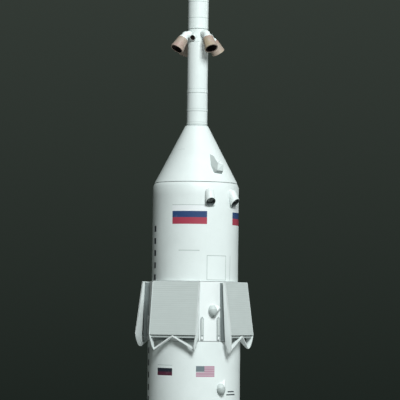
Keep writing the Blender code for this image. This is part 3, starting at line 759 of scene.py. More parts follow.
def build_escape_nozzles():
    """White flared stubs and rolled copper cones, open and dark inside."""
    long = ESCAPE_LENGTH
    total = ESCAPE_STUB + ESCAPE_LENGTH
    wall = 0.35 * MM
    rim = 0.75 * MM
    mouth, throat, root = ESCAPE_MOUTH_R, ESCAPE_THROAT_R, ESCAPE_ROOT_R
    cone = [
        (0, long), (throat - 0.3 * MM, long), (throat, long - 0.2 * MM),
        (mouth * 0.90, long * 0.38), (mouth - 0.05 * MM, 0.25 * MM), (mouth, 0.1 * MM), (mouth - 0.08 * MM, 0),
        (mouth - rim, 0.05 * MM), (mouth - rim - 0.05 * MM, 0.3 * MM), (throat - wall, long - 1.6 * MM),
        (0, long - 1.8 * MM),
    ]
    inks = ["copper_card"] * 7 + ["soot"] * 3
    stub = [
        (0, total - root), (root, total - root), (root, long + 2.0 * MM), (root + 0.3 * MM, long + 1.2 * MM),
        (throat - 0.2 * MM, long + 0.5 * MM), (throat - 0.15 * MM, long + 0.2 * MM),
        (throat - 0.25 * MM, long - 0.15 * MM), (0, long - 0.15 * MM),
    ]
    rows = zip(ESCAPE_AZIMUTHS, ESCAPE_CANTS)
    for number, (azimuth, cant) in enumerate(rows, start=1):
        mould = Mould(f"escape_nozzle_cone_{number}")
        tilt = Matrix.Rotation(radians(-cant), 4, "Y")
        place = facing(azimuth, ESCAPE_MOUTH_OUT, ESCAPE_MOUTH_Z) @ tilt
        mould.turned(cone, inks, place, 40)
        mould.turned(stub, "white_card", place, 32)
        # Elbow from the stub into the collar
        bend = place @ Vector((0, 0, total - root))
        mould.ball(bend, root, "white_card")
        wall_spot = facing(azimuth) @ Vector((TOWER_R - 1.2 * MM, 0, bend.z + 1.0 * MM))
        mould.bar(bend, wall_spot, root * 0.98, "white_card", 28)
        # Lap of the rolled sheet, down the outer side of the cone
        lap = Matrix.Rotation(radians(200 + 40 * number), 4, "Z")
        edge = [(-0.5 * MM, 0.3 * MM), (0.5 * MM, 0.3 * MM), (0.4 * MM, long - 0.4 * MM), (-0.4 * MM, long - 0.4 * MM)]
        lean = Matrix.Rotation(-atan2(mouth - throat, long), 4, "Y")
        strip = place @ lap @ Matrix.Translation((mouth - 0.06 * MM, 0, 0)) @ lean
        mould.plate(edge, strip, -0.1 * MM, 0.12 * MM, ("copper_card",) * 3, 0.04 * MM)
        mould.piece("copper_card", f"escape_nozzle_{number}")


def build_cone():
    """Rolled cone of the fairing and the folded periscope cover on it."""
    gap = 0.3 * MM
    outline = [(TOWER_ROOT_R, TOWER_Z), (CONE_R, CONE_Z + gap)]
    marks = [(-24 + 3.4 * i, 1.6, 901.5, 901.75, "grey_line") for i in range(7)]
    tube_piece("fairing_cone_card", "white_card", "fairing_cone", outline, "white_card", prints=marks, sides=112)
    build_periscope()


def build_periscope():
    """Faceted hood folded from card, on the cone, with painted shade on the facets that face away from the light."""
    slope = (CONE_R - TOWER_ROOT_R) / (TOWER_Z - CONE_Z)
    # Corners in mm: across, up, proud of the cone
    corners = {
        "tip": (-2.3, 14.2, -0.6), "heel_left": (-3.5, 0.4, -0.8), "heel_right": (3.1, -0.2, -0.8),
        "right": (4.0, 5.0, -0.8), "shoulder": (3.2, 9.6, -0.8), "crown": (1.4, 12.0, -0.7),
        "left": (-4.2, 6.4, -0.8),
        "ridge_top": (-0.7, 12.4, 1.5), "ridge_mid": (-0.6, 7.2, 3.9), "chin_left": (-2.2, 2.3, 3.0),
        "chin_right": (2.5, 2.0, 3.2), "brow_right": (2.9, 6.2, 4.9), "brow_top": (2.3, 9.2, 3.3),
    }
    # Painted shade by how the light falls: grey on the left facets, lighter grey low in front, darkest underneath; the
    # facets towards the light stay white card
    facets = (
        ("hood_grey", ("tip", "left", "ridge_mid", "ridge_top")),
        ("hood_grey", ("left", "heel_left", "chin_left", "ridge_mid")),
        ("hood_light", ("ridge_mid", "chin_left", "chin_right", "brow_right")),
        ("white_card", ("ridge_top", "ridge_mid", "brow_right", "brow_top")),
        ("pad_card", ("chin_left", "heel_left", "heel_right", "chin_right")),
        ("hood_light", ("brow_right", "chin_right", "heel_right", "right")),
        ("white_card", ("brow_top", "brow_right", "right", "shoulder")),
        ("white_card", ("ridge_top", "brow_top", "shoulder", "crown")),
        ("white_card", ("tip", "ridge_top", "crown")),
        ("white_card", ("tip", "crown", "shoulder", "right", "heel_right", "heel_left", "left")),
    )
    mould = Mould("periscope_cover_card")
    part = bmesh.new()
    made = {}
    for name, (across, up, proud) in corners.items():
        level = PERISCOPE_Z + up * MM
        out = CONE_R - slope * (level - CONE_Z) + proud * MM
        made[name] = part.verts.new((out, across * MM, level))
    for ink, facet in facets:
        part.faces.new([made[name] for name in facet]).material_index = mould.ink(ink)
    bmesh.ops.recalc_face_normals(part, faces=part.faces)
    bmesh.ops.triangulate(part, faces=part.faces)
    bmesh.ops.bevel(part, geom=part.edges[:], offset=0.12 * MM, segments=2, affect="EDGES")
    mould.join(part, facing(PERISCOPE_AZIMUTH))
    mould.piece("white_card", "periscope_cover", angle=14)


def build_upper_fairing():
    """Printed cylinder with a shoulder, and four canted scoops near its top."""
    gap = 0.3 * MM
    outline = [(CONE_R, CONE_Z), (UPPER_R, CONE_Z - SHOULDER_H), (UPPER_R, UPPER_Z + gap)]
    tube_piece(
        "fairing_upper_card", "white_card", "fairing_upper", outline, "white_card",
        prints=UPPER_PRINTS, sides=120, seam=-105,
    )
    wall = 0.25 * MM
    radius, long = SCOOP_R, SCOOP_LENGTH
    flare = radius + 0.25 * MM
    scoop = [
        (0, long + 0.1 * MM), (radius * 0.45, long), (radius * 0.78, long - 0.5 * MM), (radius * 0.94, long - 1.2 * MM),
        (radius, long - 2.2 * MM), (flare, 0.2 * MM), (flare - 0.1 * MM, 0), (flare - wall, 0),
        (radius - wall, 2.6 * MM), (0, 3.0 * MM),
    ]
    # The cut rim is grey and the inner walls and end are dark: painted shade inside the mouth
    inks = ["white_card"] * 6 + ["hood_grey", "mouth_card", "shade_card"]
    for number, azimuth in enumerate(SCOOP_AZIMUTHS, start=1):
        mould = Mould(f"scoop_card_{number}")
        place = facing(azimuth, UPPER_R + SCOOP_MOUTH_OUT, SCOOP_TOP_Z - long) @ Matrix.Rotation(-SCOOP_CANT, 4, "Y")
        mould.turned(scoop, inks, None, 36)
        # The mouth is cut at a slant, shorter on its outer side
        for corner in mould.mesh.verts:
            if corner.co.z < 3.2 * MM:
                corner.co.z += SCOOP_SLANT * (corner.co.x + radius) / (2 * radius)
        bmesh.ops.transform(mould.mesh, matrix=place, verts=mould.mesh.verts)
        # Small nozzle inside the mouth, grey with painted shade
        inner = [(1.3, 5.6), (1.35, 3.4), (1.5, 3.1), (1.2, 3.1), (1.0, 4.6), (0, 4.7)]
        shift = place @ Matrix.Translation((-0.4 * MM, 0, 0))
        mould.turned([(r * MM, z * MM) for r, z in inner], "hood_grey", shift, 24)
        mould.piece("white_card", f"scoop_{number}")


def build_band():
    """Bright band behind the grid fins and the narrow pointed pads on it."""
    gap = 0.3 * MM
    mould = Mould("fin_band_card")
    rolled(mould, [(BAND_TOP_R, UPPER_Z), (FAIRING_R, BAND_Z + gap)], "bright_card", sides=112, seam=225)
    low = BAND_Z + 1.0 * MM
    for quarter in QUARTERS:
        for own in PAD_AZIMUTHS:
            place = facing(quarter + own)
            outline = [
                (-PAD_HALF, low), (PAD_HALF, low), (PAD_HALF, low + PAD_H - PAD_HALF * 1.5),
                (PAD_HALF * 0.5, low + PAD_H - PAD_HALF * 0.5), (0, low + PAD_H),
                (-PAD_HALF * 0.5, low + PAD_H - PAD_HALF * 0.5), (-PAD_HALF, low + PAD_H - PAD_HALF * 1.5),
            ]
            mould.plate(
                outline, place, FAIRING_R - 1.2 * MM, FAIRING_R + 0.6 * MM,
                ("pad_card", "pad_card", "pad_card"), 0.12 * MM,
            )
            slot = [(y * 0.55, low + 3.4 * MM + (z - low) * 0.72) for y, z in outline]
            mould.plate(
                slot, place, FAIRING_R, FAIRING_R + 0.75 * MM, ("grey_card", "grey_card", "pad_card"), 0.06 * MM
            )
            foot = [(-0.6 * MM, low + 0.5 * MM), (0.6 * MM, low + 0.5 * MM), (0.6 * MM, low + 2.4 * MM), (-0.6 * MM, low + 2.4 * MM)]
            mould.plate(
                foot, place, FAIRING_R, FAIRING_R + 0.75 * MM, ("bright_card", "bright_card", "pad_card"), 0.06 * MM
            )
    mould.piece("white_card", "fin_band")


def build_trays():
    """Folded grid fins: ribbed panel, cheeks folded back, a shim painted dark as shade on the band, a lip in painted
    shade and a gable strip.
    """
    sizes = settings()[1]
    thick = sizes.sheet * 2.4
    ease = sizes.ease
    half = TRAY_HALF
    depth = TRAY_CHEEK_DEPTH
    turn = Matrix.Rotation(pi / 2, 4, "Z")
    top = UPPER_Z - 0.1 * MM
    low_out, low_z = TRAY_LOW_OUT, TRAY_LOW_Z
    rows = zip(TRAY_AZIMUTHS, TRAY_TIPS)
    for number, (azimuth, (left_tip, right_tip)) in enumerate(rows, start=1):
        mould = Mould(f"fin_tray_card_{number}")
        place = facing(azimuth)
        back = place.inverted()
        lean = Matrix.Rotation(-TRAY_LEAN, 4, "Y")
        panel_place = place @ Matrix.Translation((FAIRING_R, 0, UPPER_Z)) @ lean
        ribbed_panel(mould, panel_place, half, TRAY_H / cos(TRAY_LEAN), thick)
        for mirror, drop in ((-1, left_tip * MM), (1, right_tip * MM)):
            # Cheek, as an (out, height) outline with a rounded lower corner
            side = [
                (FAIRING_R - 0.1 * MM, top),
                (low_out - 0.15 * MM, low_z),
                (low_out - 0.15 * MM, low_z - drop * 0.2),
                (low_out - 0.45 * MM, low_z - drop * 0.5),
                (low_out - 1.0 * MM, low_z - drop * 0.78),
                (low_out - 1.7 * MM, low_z - drop * 0.94),
                (low_out - 2.6 * MM, low_z - drop),
                (low_out - depth + 1.8 * MM, low_z - drop),
                (low_out - depth, low_z - drop * 0.5),
                (low_out - depth, low_z - 1.0 * MM),
                (FAIRING_R - TRAY_CHEEK_TOP, top),
            ]
            outline = [(-out, z) for out, z in side]
            near, far = sorted((mirror * half, mirror * (half - thick)))
            first = len(mould.mesh.verts)
            mould.plate(outline, place @ turn, near, far, ("white_card",) * 3, ease)
            # Below the panel the cheek bends in towards the tip of the gable
            mould.mesh.verts.ensure_lookup_table()
            for corner in mould.mesh.verts[first:]:
                local = back @ corner.co
                share = max(0.0, min(1.0, (low_z - 0.5 * MM - local.z) / drop))
                local.y -= mirror * TRAY_TIP_INSET * share
                corner.co = place @ local
        # Shim on the band, a dark sheet that paints the shade in the cleft behind the cheeks, and the fold that closes
        # the top
        core = TRAY_CORE_HALF
        shim_low = BAND_Z + 0.5 * MM
        shim = [(-core, shim_low), (core, shim_low), (core, top - thick), (-core, top - thick)]
        mould.plate(shim, place, 26.5 * MM, FAIRING_R - 0.6 * MM, ("shade_card",) * 3, ease)
        lid = [(-half + 0.1 * MM, top - thick), (half - 0.1 * MM, top - thick), (half - 0.1 * MM, top), (-half + 0.1 * MM, top)]
        mould.plate(lid, place, FAIRING_R - TRAY_CHEEK_TOP, FAIRING_R - 0.2 * MM, ("white_card",) * 3, ease)
        # Lip folded under the panel, grey with painted shade, and the gable below it
        lip = [(-half + thick, low_z - 1.9 * MM), (half - thick, low_z - 1.9 * MM), (half - thick, low_z - 0.4 * MM), (-half + thick, low_z - 0.4 * MM)]
        mould.plate(lip, place, low_out - 2.2 * MM, low_out - 1.0 * MM, ("hood_light",) * 3, ease)
        for mirror, drop in ((-1, left_tip * MM), (1, right_tip * MM)):
            gable(mould, place, mirror * (half - TRAY_TIP_INSET - 0.3 * MM), low_z - drop, 1.4 * MM)
        mould.piece("grey_card", f"fin_tray_{number}")


def ribbed_panel(mould, place, half, height, thick):
    """Panel with shallow level ribs; the place's +X is its outer side, and it hangs down from there."""
    part = bmesh.new()
    rib = 1.42 * MM
    count = int(height / rib) * 4
    depth = 0.03 * MM
    border = 0.45 * MM
    across = [-half, -half + border, -half * 0.5, 0, half * 0.5, half - border, half]
    front = []
    for row in range(count + 1):
        down = height * row / count
        ripple = depth * (cos(2 * pi * down / rib) - 1) / 2
        edge = row in (0, count)
        line = []
        for column, y in enumerate(across):
            flat = edge or column in (0, len(across) - 1)
            bow = 0.10 * MM * sin(pi * down / height) * (1 - (y / half) ** 2)
            line.append(part.verts.new((bow if flat else ripple + bow, y, -down)))
        front.append(line)
    back = [[part.verts.new((-thick, line[i].co.y, line[i].co.z)) for i in (0, -1)] for line in (front[0], front[-1])]
    grid_ink = mould.ink("grid_card")
    edge_ink = mould.ink("cut_edge")
    plain = mould.ink("white_card")
    for upper, lower in zip(front, front[1:]):
        for i in range(len(across) - 1):
            rim = upper is front[0] or i in (0, len(across) - 2)
            made = part.faces.new((upper[i], upper[i + 1], lower[i + 1], lower[i]))
            made.material_index = plain if rim else grid_ink
    left = [line[0] for line in front]
    right = [line[-1] for line in front]
    shell = (
        (front[0] + [back[0][1], back[0][0]], edge_ink),
        (list(reversed(front[-1])) + [back[1][0], back[1][1]], edge_ink),
        (left + [back[1][0], back[0][0]], edge_ink),
        (list(reversed(right)) + [back[0][1], back[1][1]], edge_ink),
        ([back[0][0], back[0][1], back[1][1], back[1][0]], plain),
    )
    for corners, ink in shell:
        part.faces.new(corners).material_index = ink
    bmesh.ops.recalc_face_normals(part, faces=part.faces)
    mould.join(part, place)


def gable(mould, place, tip_across, tip, strip):
    """Half of a strip folded to a gable under the panel, from the band to the panel's lower edge."""
    apex = TRAY_LOW_Z - 1.4 * MM
    outline = [(0, apex), (tip_across, tip), (tip_across, tip + strip), (0, apex + strip * 0.9)]
    part = bmesh.new()
    rows = []
    for y, z in outline:
        share = y / tip_across
        near = FAIRING_R * (1 - share) + (TRAY_TIP_OUT - 1.4 * MM) * share
        far = TRAY_LOW_OUT + (TRAY_TIP_OUT - TRAY_LOW_OUT) * share - 0.1 * MM
        rows.append((part.verts.new((near, y, z)), part.verts.new((far, y, z))))
    faces = []
    for (back_a, front_a), (back_b, front_b) in zip(rows, rows[1:] + rows[:1]):
        faces.append((part.faces.new((back_a, back_b, front_b, front_a)), "white_card"))
    faces.append((part.faces.new([front for back, front in rows]), "bright_card"))
    faces.append((part.faces.new([back for back, front in reversed(rows)]), "white_card"))
    for made, ink in faces:
        made.material_index = mould.ink(ink)
    bmesh.ops.recalc_face_normals(part, faces=part.faces)
    bmesh.ops.bevel(part, geom=part.edges[:], offset=0.1 * MM, segments=2, affect="EDGES")
    mould.join(part, place)


def build_lower_fairing():
    """Printed lower fairing, its taper, and four small thrusters."""
    gap = 0.3 * MM
    tube_piece(
        "fairing_lower_card", "white_card", "fairing_lower",
        [(FAIRING_R, BAND_Z), (FAIRING_R, ADAPTER_TOP_Z + gap)], "white_card",
        prints=LOWER_PRINTS, sides=120, seam=-105,
    )
    tube_piece(
        "fairing_adapter_card", "white_card", "fairing_adapter",
        [(FAIRING_R, ADAPTER_TOP_Z), (STAGE_R, THIRD_TOP_Z + gap)], "white_card", sides=112,
    )
    # name, azimuth, height of the foot, then of the pipe: lean in degrees, length and place across in mm
    rows = (
        ("band_thruster_1", 49, 789, 42, 3.6, 1.0),
        ("band_thruster_2", 229, 789, 42, 3.6, 1.0),
        ("fairing_thruster_1", 61, 737, 20, 6.6, 0.6),
        ("fairing_thruster_2", 241, 737, 20, 6.6, 0.6),
    )
    # Drop-shaped housing with painted shade, darker in rings towards its foot
    drop = [(0, 0), (1.2, 0.3), (2.3, 1.3), (2.95, 2.6), (3.1, 4.0), (2.85, 5.4), (2.2, 7.0), (1.3, 8.4), (0, 9.0)]
    painted_shade_rings = ("pad_card", "hood_grey", "hood_grey", "hood_grey", "hood_light", "hood_light", "white_card", "white_card")
    tilt = Matrix.Rotation(-SCOOP_CANT, 4, "Y")
    for name, azimuth, height, pipe_lean, pipe_long, pipe_side in rows:
        mould = Mould(name + "_card")
        place = facing(azimuth, FAIRING_R + 1.9 * MM, height * MM) @ tilt
        mould.turned([(r * MM, z * MM) for r, z in drop], painted_shade_rings, place @ Matrix.Translation((0, -0.7 * MM, 0)), 32)
        pipe = [(0, 0), (1.7, 0), (1.7, pipe_long), (1.55, pipe_long + 0.3), (1.15, pipe_long + 0.4), (1.05, pipe_long), (0, pipe_long - 0.1)]
        lean = Matrix.Rotation(radians(-pipe_lean), 4, "X")
        side = place @ Matrix.Translation((0.5 * MM, pipe_side * MM, 3.6 * MM)) @ lean
        # The inside of the pipe's mouth is grey as painted shade
        mould.turned([(r * MM, z * MM) for r, z in pipe], ("bright_card",) * 4 + ("pad_card",) * 2, side, 28)
        mould.piece("white_card", name)


def bell_rings(mouth_r, neck_r, rim_z, top_z, wall):
    """(radius, height) rings of a hollow bell, and the finish of each step between them."""
    height = top_z - rim_z
    outside = []
    for step in range(9):
        share = step / 8
        outside.append((neck_r + (mouth_r - neck_r) * share ** 0.6, top_z - height * (0.22 + 0.78 * share)))
    inside = [(max(radius - wall, 0.3 * MM), z) for radius, z in reversed(outside)]
    rings = [(0, top_z), (neck_r, top_z), *outside, *inside, (0, top_z - height * 0.22)]
    inks = ["copper_card"] * (len(outside) + 1) + ["cut_edge"] + ["dark_card"] * len(inside)
    return rings, inks


def engine_piece(name, node, slot, place, plate_r, top_z, foot_z, bells, plate_ink):
    """Tail plate with its nozzles. bells: mouth radius, neck radius, rim height, wall, (out, across)."""
    mould = Mould(name)
    ease = 0.3 * MM
    plate = [(0, top_z), (plate_r - ease, top_z), (plate_r, top_z - ease), (plate_r, foot_z + ease)]
    plate += [(plate_r - ease, foot_z), (0, foot_z)]
    mould.turned(plate, plate_ink, place, 72)
    for mouth_r, neck_r, rim_z, wall, spots in bells:
        rings, inks = bell_rings(mouth_r, neck_r, rim_z, foot_z + 0.6 * MM, wall)
        for out, across in spots:
            spot = place @ Matrix.Translation((out, across, 0))
            mould.turned(rings, inks, spot, 40)
            # Stiffening band round the bell
            band_z = rim_z + (foot_z - rim_z) * 0.42
            near = mouth_r * 0.80
            band = [(near, band_z), (near + 0.35 * MM, band_z - 0.1 * MM), (near + 0.4 * MM, band_z - 0.7 * MM), (near, band_z - 0.8 * MM)]
            mould.turned((*band, band[0]), "copper_card", spot, 40)
    return mould.piece(slot, node)


def round_spots(azimuths, distance):
    return [(distance * cos(radians(a)), distance * sin(radians(a))) for a in azimuths]


def build_third_stage():
    """Third stage with printed rings, its cable duct and its engine."""
    gap = 0.3 * MM
    rings = ring_lines(((706.6, 707.0), (698.0, 698.3), (640.0, 640.3), (583.0, 583.3)))
    rings += [(180, 359.9, 571.2, 577.6, "white_ink"), (180, 359.9, 700.2, 705.4, "white_ink")]
    for azimuth in DIAGONALS:
        rings += [(azimuth, 0.7, 583.3, 698.0, "grey_line")]
    tube_piece(
        "third_stage_card", "green_card", "third_stage",
        [(STAGE_R, THIRD_TOP_Z), (STAGE_R, LATTICE_TOP_Z + gap)], "green_card", prints=rings, sides=112, seam=150,
    )
    mould = Mould("third_stage_duct_card")
    half, low, high = 2.0 * MM, LATTICE_TOP_Z + 6 * MM, THIRD_TOP_Z - 6 * MM
    duct(mould, facing(135), STAGE_R - 0.4 * MM, STAGE_R + 2.4 * MM, half, low, high, 5)
    mould.piece("green_card", "third_stage_duct")
    engine_piece(
        "third_stage_engine_card", "third_stage_engine", "dark_card", Matrix.Identity(4), 20.5 * MM,
        LATTICE_TOP_Z, LATTICE_TOP_Z - 2.4 * MM,
        ((5.4 * MM, 2.4 * MM, CORE_TOP_Z + 4.5 * MM, 0.5 * MM, round_spots(DIAGONALS, 8.4 * MM)),), "dark_card",
    )


def duct(mould, place, near, far, half, low, high, straps):
    """Folded cable duct with pointed ends and clamps along it."""
    outline = [
        (-half, low + half), (-half * 0.5, low), (half * 0.5, low), (half, low + half),
        (half, high - half), (half * 0.5, high), (-half * 0.5, high), (-half, high - half),
    ]
    mould.plate(outline, place, near, far - 0.3 * MM, ("green_card", "green_card", "green_card"), 0.3 * MM)
    for i in range(straps):
        z = low + (high - low) * (i + 0.5) / straps
        clamp = [(-half - 0.25 * MM, z - 0.8 * MM), (half + 0.25 * MM, z - 0.8 * MM), (half + 0.25 * MM, z + 0.8 * MM), (-half - 0.25 * MM, z + 0.8 * MM)]
        mould.plate(clamp, place, near, far, ("pad_card", "pad_card", "cut_edge"), 0.1 * MM)


def build_lattice():
    """Open truss: two rings, a zigzag of bars and small gussets where they meet."""
    ring_r = 26.6 * MM
    half = 0.9 * MM
    low = CORE_TOP_Z + 0.3 * MM
    high = LATTICE_TOP_Z - 2 * half
    mould = Mould("lattice_interstage_card")
    ease = 0.15 * MM
    for base in (low, high):
        ring = [
            (ring_r + half, base + 2 * half - ease), (ring_r + half, base + ease), (ring_r + half - ease, base),
            (ring_r - half + ease, base), (ring_r - half, base + ease), (ring_r - half, base + 2 * half - ease),
            (ring_r - half + ease, base + 2 * half), (ring_r + half - ease, base + 2 * half),
        ]
        mould.turned((*ring, ring[0]), "grey_line", None, 96)
    for bay in range(12):
        for side in (-1, 1):
            foot = out_from_axis(30 * bay + 3 * side) * ring_r + Vector((0, 0, low + half))
            head = out_from_axis(30 * bay + 12 * side) * ring_r + Vector((0, 0, high + half))
            mould.bar(foot, head, 0.6 * MM, "grey_line", 16)
        for azimuth, base, rise in ((30 * bay, low + 1.7 * half, 3.2 * MM), (30 * bay + 15, high + 0.3 * half, -3.2 * MM)):
            gusset = [(-2.4 * MM, base), (2.4 * MM, base), (1.0 * MM, base + rise), (-1.0 * MM, base + rise)]
            mould.plate(gusset, facing(azimuth), ring_r - 0.3 * MM, ring_r + 0.3 * MM, ("grey_line",) * 2 + ("cut_edge",), 0.05 * MM)
    mould.piece("grey_card", "lattice_interstage")


def build_core():
    """Core lengths with printed rings, belt with four sockets, ties and cable ducts."""
    gap = 0.3 * MM
    rings = ring_lines(((540.0, 540.4), (470.0, 470.3), (424.0, 424.3)))
    rings += [(180, 359.9, 541.6, 546.6, "white_ink")]
    rings += [(azimuth, 0.6, 424.3, 540.0, "grey_line") for azimuth in DIAGONALS]
    tube_piece(
        "core_upper_card", "green_card", "core_upper", [(STAGE_R, CORE_TOP_Z), (BELT_R, NECK_Z + gap)],
        "green_card", prints=rings, sides=112, seam=150,
    )
    tube_piece(
        "core_flare_card", "green_card", "core_flare", [(BELT_R, BELT_Z), (CORE_R, CORE_FLARE_Z + gap)],
        "green_card", prints=ring_lines(((392.0, 392.3), (300.0, 300.3))), sides=96, seam=150, step=14 * MM,
    )
    mould = Mould("core_lower_card")
    rolled(
        mould, [(CORE_R, CORE_FLARE_Z), (CORE_R, TAIL_Z + gap)], "green_card",
        prints=ring_lines(((250.0, 250.3), (170.0, 170.3), (100.0, 100.3))), sides=80, seam=150, step=14 * MM,
    )
    centre_out = BOOSTER_BASE_OUT - BOOSTER_LEAN * (TIE_Z - TAIL_Z)
    for azimuth in QUARTERS:
        for side in (-1, 1):
            root = out_from_axis(azimuth + 30 * side) * (CORE_R - 1.0 * MM)
            root.z = TIE_Z
            turn = radians(145) * side
            reach = BOOSTER_R + gap
            end = facing(azimuth, centre_out, TIE_Z) @ Vector((reach * cos(turn), reach * sin(turn), 0))
            mould.bar(root, end, 0.8 * MM, "grey_line", 16)
    mould.piece("green_card", "core_lower")
    mould = Mould("core_belt_card")
    rolled(mould, [(BELT_R, NECK_Z), (BELT_R, BELT_Z + gap)], "grid_card", sides=112, seam=150)
    half = 2.6 * MM
    low = BOOSTER_TIP_Z + gap
    socket = [(-half, low), (half, low), (half, low + 4 * MM), (0, low + 8 * MM), (-half, low + 4 * MM)]
    for azimuth in QUARTERS:
        inks = ("white_card", "white_card", "cut_edge")
        mould.plate(socket, facing(azimuth), BELT_R - 1 * MM, BOOSTER_TIP_OUT + 2.6 * MM, inks, 0.25 * MM)
    mould.piece("grey_card", "core_belt")
    low, high = TIE_Z + 6 * MM, CORE_FLARE_Z - 6 * MM
    for number, azimuth in enumerate((45, 225), start=1):
        mould = Mould(f"core_duct_card_{number}")
        duct(mould, facing(azimuth), CORE_R - 0.4 * MM, CORE_R + 2.2 * MM, 1.6 * MM, low, high, 7)
        mould.piece("green_card", f"core_duct_{number}")
    engine_piece(
        "core_engine_card", "core_engine", "copper_card", Matrix.Identity(4), 20.8 * MM, TAIL_Z, PLATE_Z,
        (
            (7.4 * MM, 3.4 * MM, 0.0, 0.6 * MM, round_spots(DIAGONALS, 11.2 * MM)),
            (2.5 * MM, 1.8 * MM, 2.5 * MM, 0.4 * MM, round_spots(QUARTERS, 17.6 * MM)),
        ), "dark_card",
    )


def leaned(point):
    """Place of a point of a booster that slides inwards as it rises."""
    return Vector((point.x + BOOSTER_BASE_OUT - BOOSTER_LEAN * (point.z - TAIL_Z), point.y, point.z))


def lean_piece(mould, azimuth):
    place = facing(azimuth)
    for corner in mould.mesh.verts:
        corner.co = place @ leaned(corner.co)


def build_boosters():
    """Four boosters: nose, tapered body, orange skirt, fin and engine."""
    gap = 0.3 * MM
    body_rings = ring_lines(((318.0, 318.4), (230.0, 230.3), (150.0, 150.3), (96.0, 96.3)))
    body_rings += [(180, 359.9, 88.0, 93.4, "white_ink")]
    for number, azimuth in enumerate(QUARTERS, start=1):
        name = f"booster_{number}"
        mould = Mould(name + "_nose_card")
        nose = [(BOOSTER_TIP_R, BOOSTER_TIP_Z - 2.4 * MM), (BOOSTER_NECK_R, BOOSTER_NOSE_Z + gap)]
        rolled(mould, nose, "white_card", prints=ring_lines(((395.0, 395.3), (340.0, 340.3))), sides=56, seam=-30, step=14 * MM)
        tip = [(0, 0), (BOOSTER_TIP_R * 0.45, -0.12), (BOOSTER_TIP_R * 0.8, -0.7), (BOOSTER_TIP_R * 0.98, -1.7), (BOOSTER_TIP_R, -2.6), (0, -2.6)]
        mould.turned([(r, BOOSTER_TIP_Z + z * MM) for r, z in tip], "pad_card", None, 32)
        lean_piece(mould, azimuth)
        mould.piece("white_card", name + "_nose")
        mould = Mould(name + "_body_card")
        body = [(BOOSTER_NECK_R, BOOSTER_NOSE_Z), (BOOSTER_R, BOOSTER_SKIRT_Z + gap)]
        rolled(mould, body, "green_card", prints=body_rings, sides=80, seam=-30, step=14 * MM)
        lean_piece(mould, azimuth)
        mould.piece("green_card", name + "_body")
        mould = Mould(name + "_skirt_card")
        skirt = [(BOOSTER_R, BOOSTER_SKIRT_Z), (BOOSTER_R, TAIL_Z + gap)]
        rings = ring_lines(((78.0, 78.3), (30.0, 30.3)))
        rolled(mould, skirt, "orange_card", prints=rings, sides=80, seam=-30)
        lean_piece(mould, azimuth)
        mould.piece("orange_card", name + "_skirt")
        build_booster_fin(name, azimuth)
        spots = round_spots(DIAGONALS, 11.2 * MM)
        engine_piece(
            name + "_engine_card", name + "_engine", "copper_card", facing(azimuth, BOOSTER_BASE_OUT), 26.0 * MM,
            TAIL_Z, PLATE_Z,
            (
                (7.4 * MM, 3.4 * MM, 0.0, 0.6 * MM, spots),
                (2.5 * MM, 1.8 * MM, 2.5 * MM, 0.4 * MM, ((20.0 * MM, 8.0 * MM), (20.0 * MM, -8.0 * MM))),
            ), "dark_card",
        )


def build_booster_fin(name, azimuth):
    """Doubled card fin with a foot glued along the skirt."""
    mould = Mould(name + "_fin_card")
    outer = BOOSTER_BASE_OUT + BOOSTER_R
    root = TAIL_Z + FIN_FOOT
    fin = [
        (outer - 0.2 * MM, root), (FIN_SPAN, root), (FIN_SPAN, root + FIN_TIP_H),
        (outer - 0.2 * MM - BOOSTER_LEAN * (FIN_ROOT_H + FIN_FOOT), root + FIN_ROOT_H),
    ]
    turn = Matrix.Rotation(pi / 2, 4, "Z")
    outline = [(-out, z) for out, z in fin]
    thick = 0.9 * MM
    mould.plate(outline, facing(azimuth) @ turn, -thick, thick, ("grid_card", "grid_card", "cut_edge"), 0.2 * MM)
    foot = [(-1.9 * MM, root + 0.4 * MM), (1.9 * MM, root + 0.4 * MM), (1.5 * MM, root + FIN_ROOT_H - 1 * MM), (-1.5 * MM, root + FIN_ROOT_H - 1 * MM)]
    slide = Matrix.Identity(4)
    slide[0][2] = -BOOSTER_LEAN
    slide[0][3] = BOOSTER_LEAN * TAIL_Z
    place = facing(azimuth) @ slide
    mould.plate(foot, place, outer - 0.4 * MM, outer + 0.35 * MM, ("grid_card", "grid_card", "cut_edge"), 0.08 * MM)
    mould.piece("grey_card", name + "_fin")


# Studio


def place_camera(studio):
    """Camera at the photograph's viewing angle."""
    away = Vector((
        sin(studio.azimuth) * cos(studio.elevation), -cos(studio.azimuth) * cos(studio.elevation),
        sin(studio.elevation),
    ))
    across = Vector((cos(studio.azimuth), sin(studio.azimuth), 0))
    target = Vector((0, 0, studio.target_z)) + across * studio.target_x
    up = (Vector((0, 0, 1)) - away * away.z).normalized()
    camera = bpy.data.cameras.new("photo_camera")
    camera.lens = studio.lens
    camera.sensor_width = 36
    camera.clip_start = 0.05
    obj = bpy.data.objects.new("photo_camera", camera)
    turn = Matrix((up.cross(away), up, away)).transposed().to_4x4()
    turn.translation = target + away * studio.distance
    obj.matrix_world = turn @ Matrix.Rotation(studio.roll, 4, "Z")
    bpy.context.scene.collection.objects.link(obj)
    bpy.context.scene.camera = obj


def soft_light(name, azimuth, elevation, distance, size, power, tint):
    """Square soft light at an angle round the model, aimed at the fairing."""
    aim = Vector((0, 0, 0.80))
    away = out_from_axis(azimuth) * cos(radians(elevation)) + Vector((0, 0, sin(radians(elevation))))
    lamp = bpy.data.lights.new(name, "AREA")
    lamp.size = size
    lamp.energy = power
    lamp.color = tint
    obj = bpy.data.objects.new(name, lamp)
    obj.location = aim + away * distance
    obj.rotation_euler = away.to_track_quat("Z", "Y").to_euler()
    obj.visible_camera = False
    bpy.context.scene.collection.objects.link(obj)


